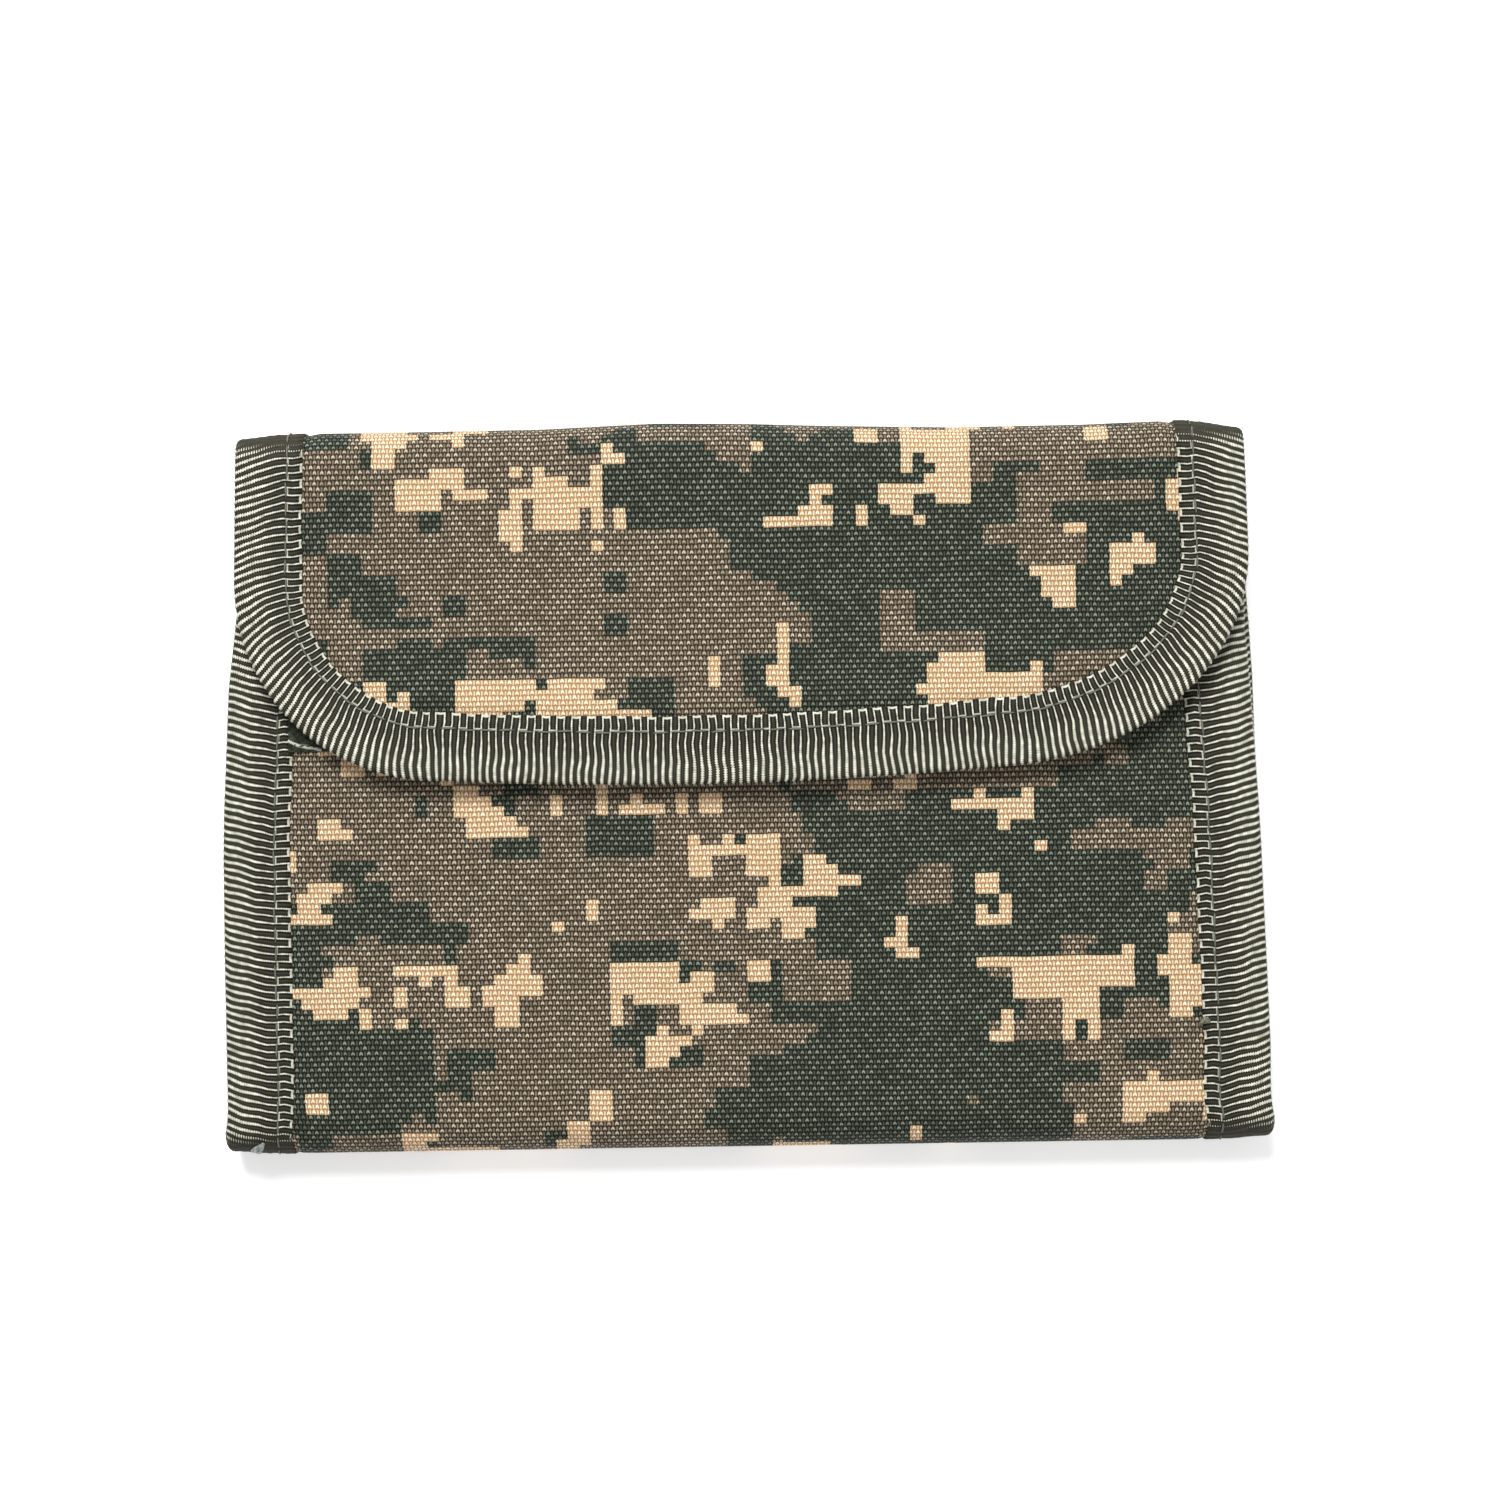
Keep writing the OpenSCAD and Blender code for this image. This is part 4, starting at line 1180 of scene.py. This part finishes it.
def stops():
    """Small crimped metal stops at both ends of the coils."""
    level = FRONT_T - COIL_ROOF
    bow = [(-2.4, 0.2), (-2.2, -0.25), (0, -0.3), (2.2, -0.25), (2.4, 0.2)]
    ends = (low("zipper_stops")[0] + 0.7, high("zipper_stops")[0] - 0.7)
    parts = [tube(np.array([(x, ZIP_Y + y, level + z) for y, z in bow]), 0.55, 10, 0.5) for x in ends]
    fasten("front_panel", joined("end_stops", parts, METAL), "zipper_metal", "zipper_stops")


slider()
pull()
stops()


# ---- hook and loop

def bristles(name, face, x0, x1, y0, y1, pitch, shape, material, slot, node, seed):
    """A base strip with small loops or hooks on it, each a line and its radius from shape(rng)."""
    rng = np.random.default_rng(seed)
    x, y = np.meshgrid(np.linspace(x0, x1, 60), np.linspace(y0, y1, 12))
    face.sheet(name + "_base", x, y, 0.0, STRIP_T, material, (x1 - x0, y1 - y0), slot, node)
    parts = []
    for row, root_y in enumerate(np.arange(y0 + 0.8, y1 - 0.5, pitch)):
        for root_x in np.arange(x0 + 0.8 + 0.5 * pitch * (row % 2), x1 - 0.5, pitch):
            line, radius = shape(rng)
            points = face.at(root_x + line[:, 0], root_y + line[:, 1], STRIP_T + line[:, 2])
            parts.append(tube(points, radius, 4))
    fasten(face.body, joined(name + "_pile", parts, material), slot)


def loop_shape(rng):
    """A loop of the pile: a leaning arch."""
    t = np.linspace(-0.1, math.pi + 0.1, 7)
    turn, size = rng.uniform(0, math.tau), rng.uniform(0.34, 0.55)
    lean = rng.uniform(-0.35, 0.35)
    across, up = size * np.cos(t), 1.32 * size * np.sin(t) - 0.03
    x, y = across * math.cos(turn) + lean * up, across * math.sin(turn) + 0.4 * lean * up
    return np.stack([x, y, up], -1), 0.075


def hook_shape(rng):
    """A moulded hook: a stem that bends over at its tip."""
    t = np.linspace(0, 1, 6)
    lean = 0.36 * t ** 2 * (1 if rng.uniform() < 0.5 else -1)
    up = 0.52 * np.sin(np.minimum(t * 2.3, 2.3)) - 0.03
    return np.stack([lean, 0 * t, up], -1), 0.09


OUTER = Face("front_panel", FRONT_T, 1, FRONT)
UNDER_FLAP = Face("flap", low("hook_strip")[2] + 0.9, -1, FLAP)
(x0, y0), (x1, y1) = corners("loop_strip")
bristles("loop_tape", OUTER, x0 - 1.5, x1 - 7.0, y0, y1, 1.0, loop_shape, PILE, "loop_pile", "loop_strip",
         11)
loop_runs = [(x0 - 0.8, y, x1 - 7.8, y, 0.36) for y in (y0 + 1, y1 - 1)]
(x0, y0), (x1, y1) = corners("hook_strip")
bristles("hook_tape", UNDER_FLAP, x0, x1, y0, y1, 1.45, hook_shape, HOOKS, "hook_nylon", "hook_strip", 12)
hook_runs = [(x0 + 1, y, x1 - 1, y, 0.36) for y in (y0 + 0.8, y1 - 0.8)]
seam("loop_seam", OUTER, loop_runs, 6.0)
seam("hook_seam", UNDER_FLAP, hook_runs, 7.0)


# ---- wear

def loose_thread():
    """A frayed thread under the flap's left end, along (x, y, lift) points, made smooth."""
    line = np.array([(-62.1, 7.6, 0.1), (-61.3, 7.2, 0.35), (-60.3, 6.8, 0.4),
                     (-59.2, 6.6, 0.4), (-58.2, 6.5, 0.5), (-57.2, 6.2, 0.4)])
    line[:, 1] = FRONT.to_a(line[:, 1])
    own = arc_lengths(line[:, :2])
    at = np.linspace(0, own[-1], 40)
    kernel = np.array([1, 2, 3, 4, 3, 2, 1]) / 16
    x, a, lift = (np.convolve(np.pad(part, 3, mode="edge"), kernel, "valid")
                  for part in pick(line, own, at).T)
    part = tube(FRONT.place(x, a, -lift), 0.27 * (1 - 0.25 * np.sin(at * 2.1) ** 2), 8)
    fasten("front_panel", joined("loose_thread", [part], LOOSE), "thread")


def knot(name, x, a, size, slant, body, material, seed):
    """A melted or knotted lump of thread: an uneven ball, drawn out along its slant and pressed flat."""
    round_it = circle(20)
    turn, tilt = np.meshgrid(round_it, np.linspace(0.08, math.pi - 0.08, 14))
    dents = 0.24 * np.sin(3 * turn + seed) * np.sin(tilt) + 0.16 * np.cos(2 * turn + 4 * tilt + seed)
    radius = size * (1 + dents)
    long, short = radius * np.sin(tilt) * np.cos(turn) * 1.7, radius * np.sin(tilt) * np.sin(turn) * 0.8
    across = long * math.cos(slant) - short * math.sin(slant)
    along = long * math.sin(slant) + short * math.cos(slant)
    points = FRONT.place(x + across, a + along, -0.15 - radius * 0.55 * np.cos(tilt))
    points, quads, uv = ring_part(points, tilt[:, 0], round_it)
    fasten(body, mesh_object(name, points, quads, uv[:, ::-1], material), "thread")


loose_thread()
knot("melted_end", -68.4, 3.3, 0.78, 0.95, "bottom_fold", MELTED, 1.0)
knot("thread_knot", 62.6, FRONT.to_a(-33.7), 0.5, 0.4, "front_panel", THREAD, 4.0)


# ---- studio

VIEW_W = 210.4          # width of the view, at the wallet's front


def floor():
    bpy.ops.mesh.primitive_plane_add(size=6.0, location=(0, 0, -0.0002))
    plane = put(bpy.context.object, name="floor")
    look = Look("floor", 0.9, Base_Color=(0.92, 0.92, 0.92, 1), Emission_Color=(1, 1, 1, 1),
                Emission_Strength=0.3)
    plane.data.materials.append(look.material)


def soft_light(name, location, size, power):
    """A round light that shines on the wallet."""
    data = put(bpy.data.lights.new(name, "AREA"), shape="DISK", size=size, energy=power)
    aim = (-Vector(location)).to_track_quat("-Z", "Y").to_euler()
    put(placed(name, data), location=location, rotation_euler=aim)


def camera():
    """Straight above the wallet, a long lens, turned a little as the wallet is in view."""
    data = put(bpy.data.cameras.new("camera"), lens=90.0, sensor_width=36.0, clip_start=0.01, clip_end=10.0)
    distance = VIEW_W * data.lens / data.sensor_width
    bpy.context.scene.camera = put(placed("camera", data), rotation_euler=(0, 0, math.radians(-0.9)),
                                   location=(0.8 * MM, 5.3 * MM, (distance + FRONT_T) * MM))


floor()
camera()
soft_light("key", (-0.15, 0.55, 0.75), 0.42, 11.5)
soft_light("fill", (0.5, -0.35, 0.7), 0.8, 2.6)
world = bpy.context.scene.world = put(bpy.data.worlds.new("world"), use_nodes=True)
for key, value in (("Color", (1, 1, 1, 1)), ("Strength", 0.42)):
    world.node_tree.nodes["Background"].inputs[key].default_value = value
bpy.context.scene.view_settings.view_transform = "Standard"
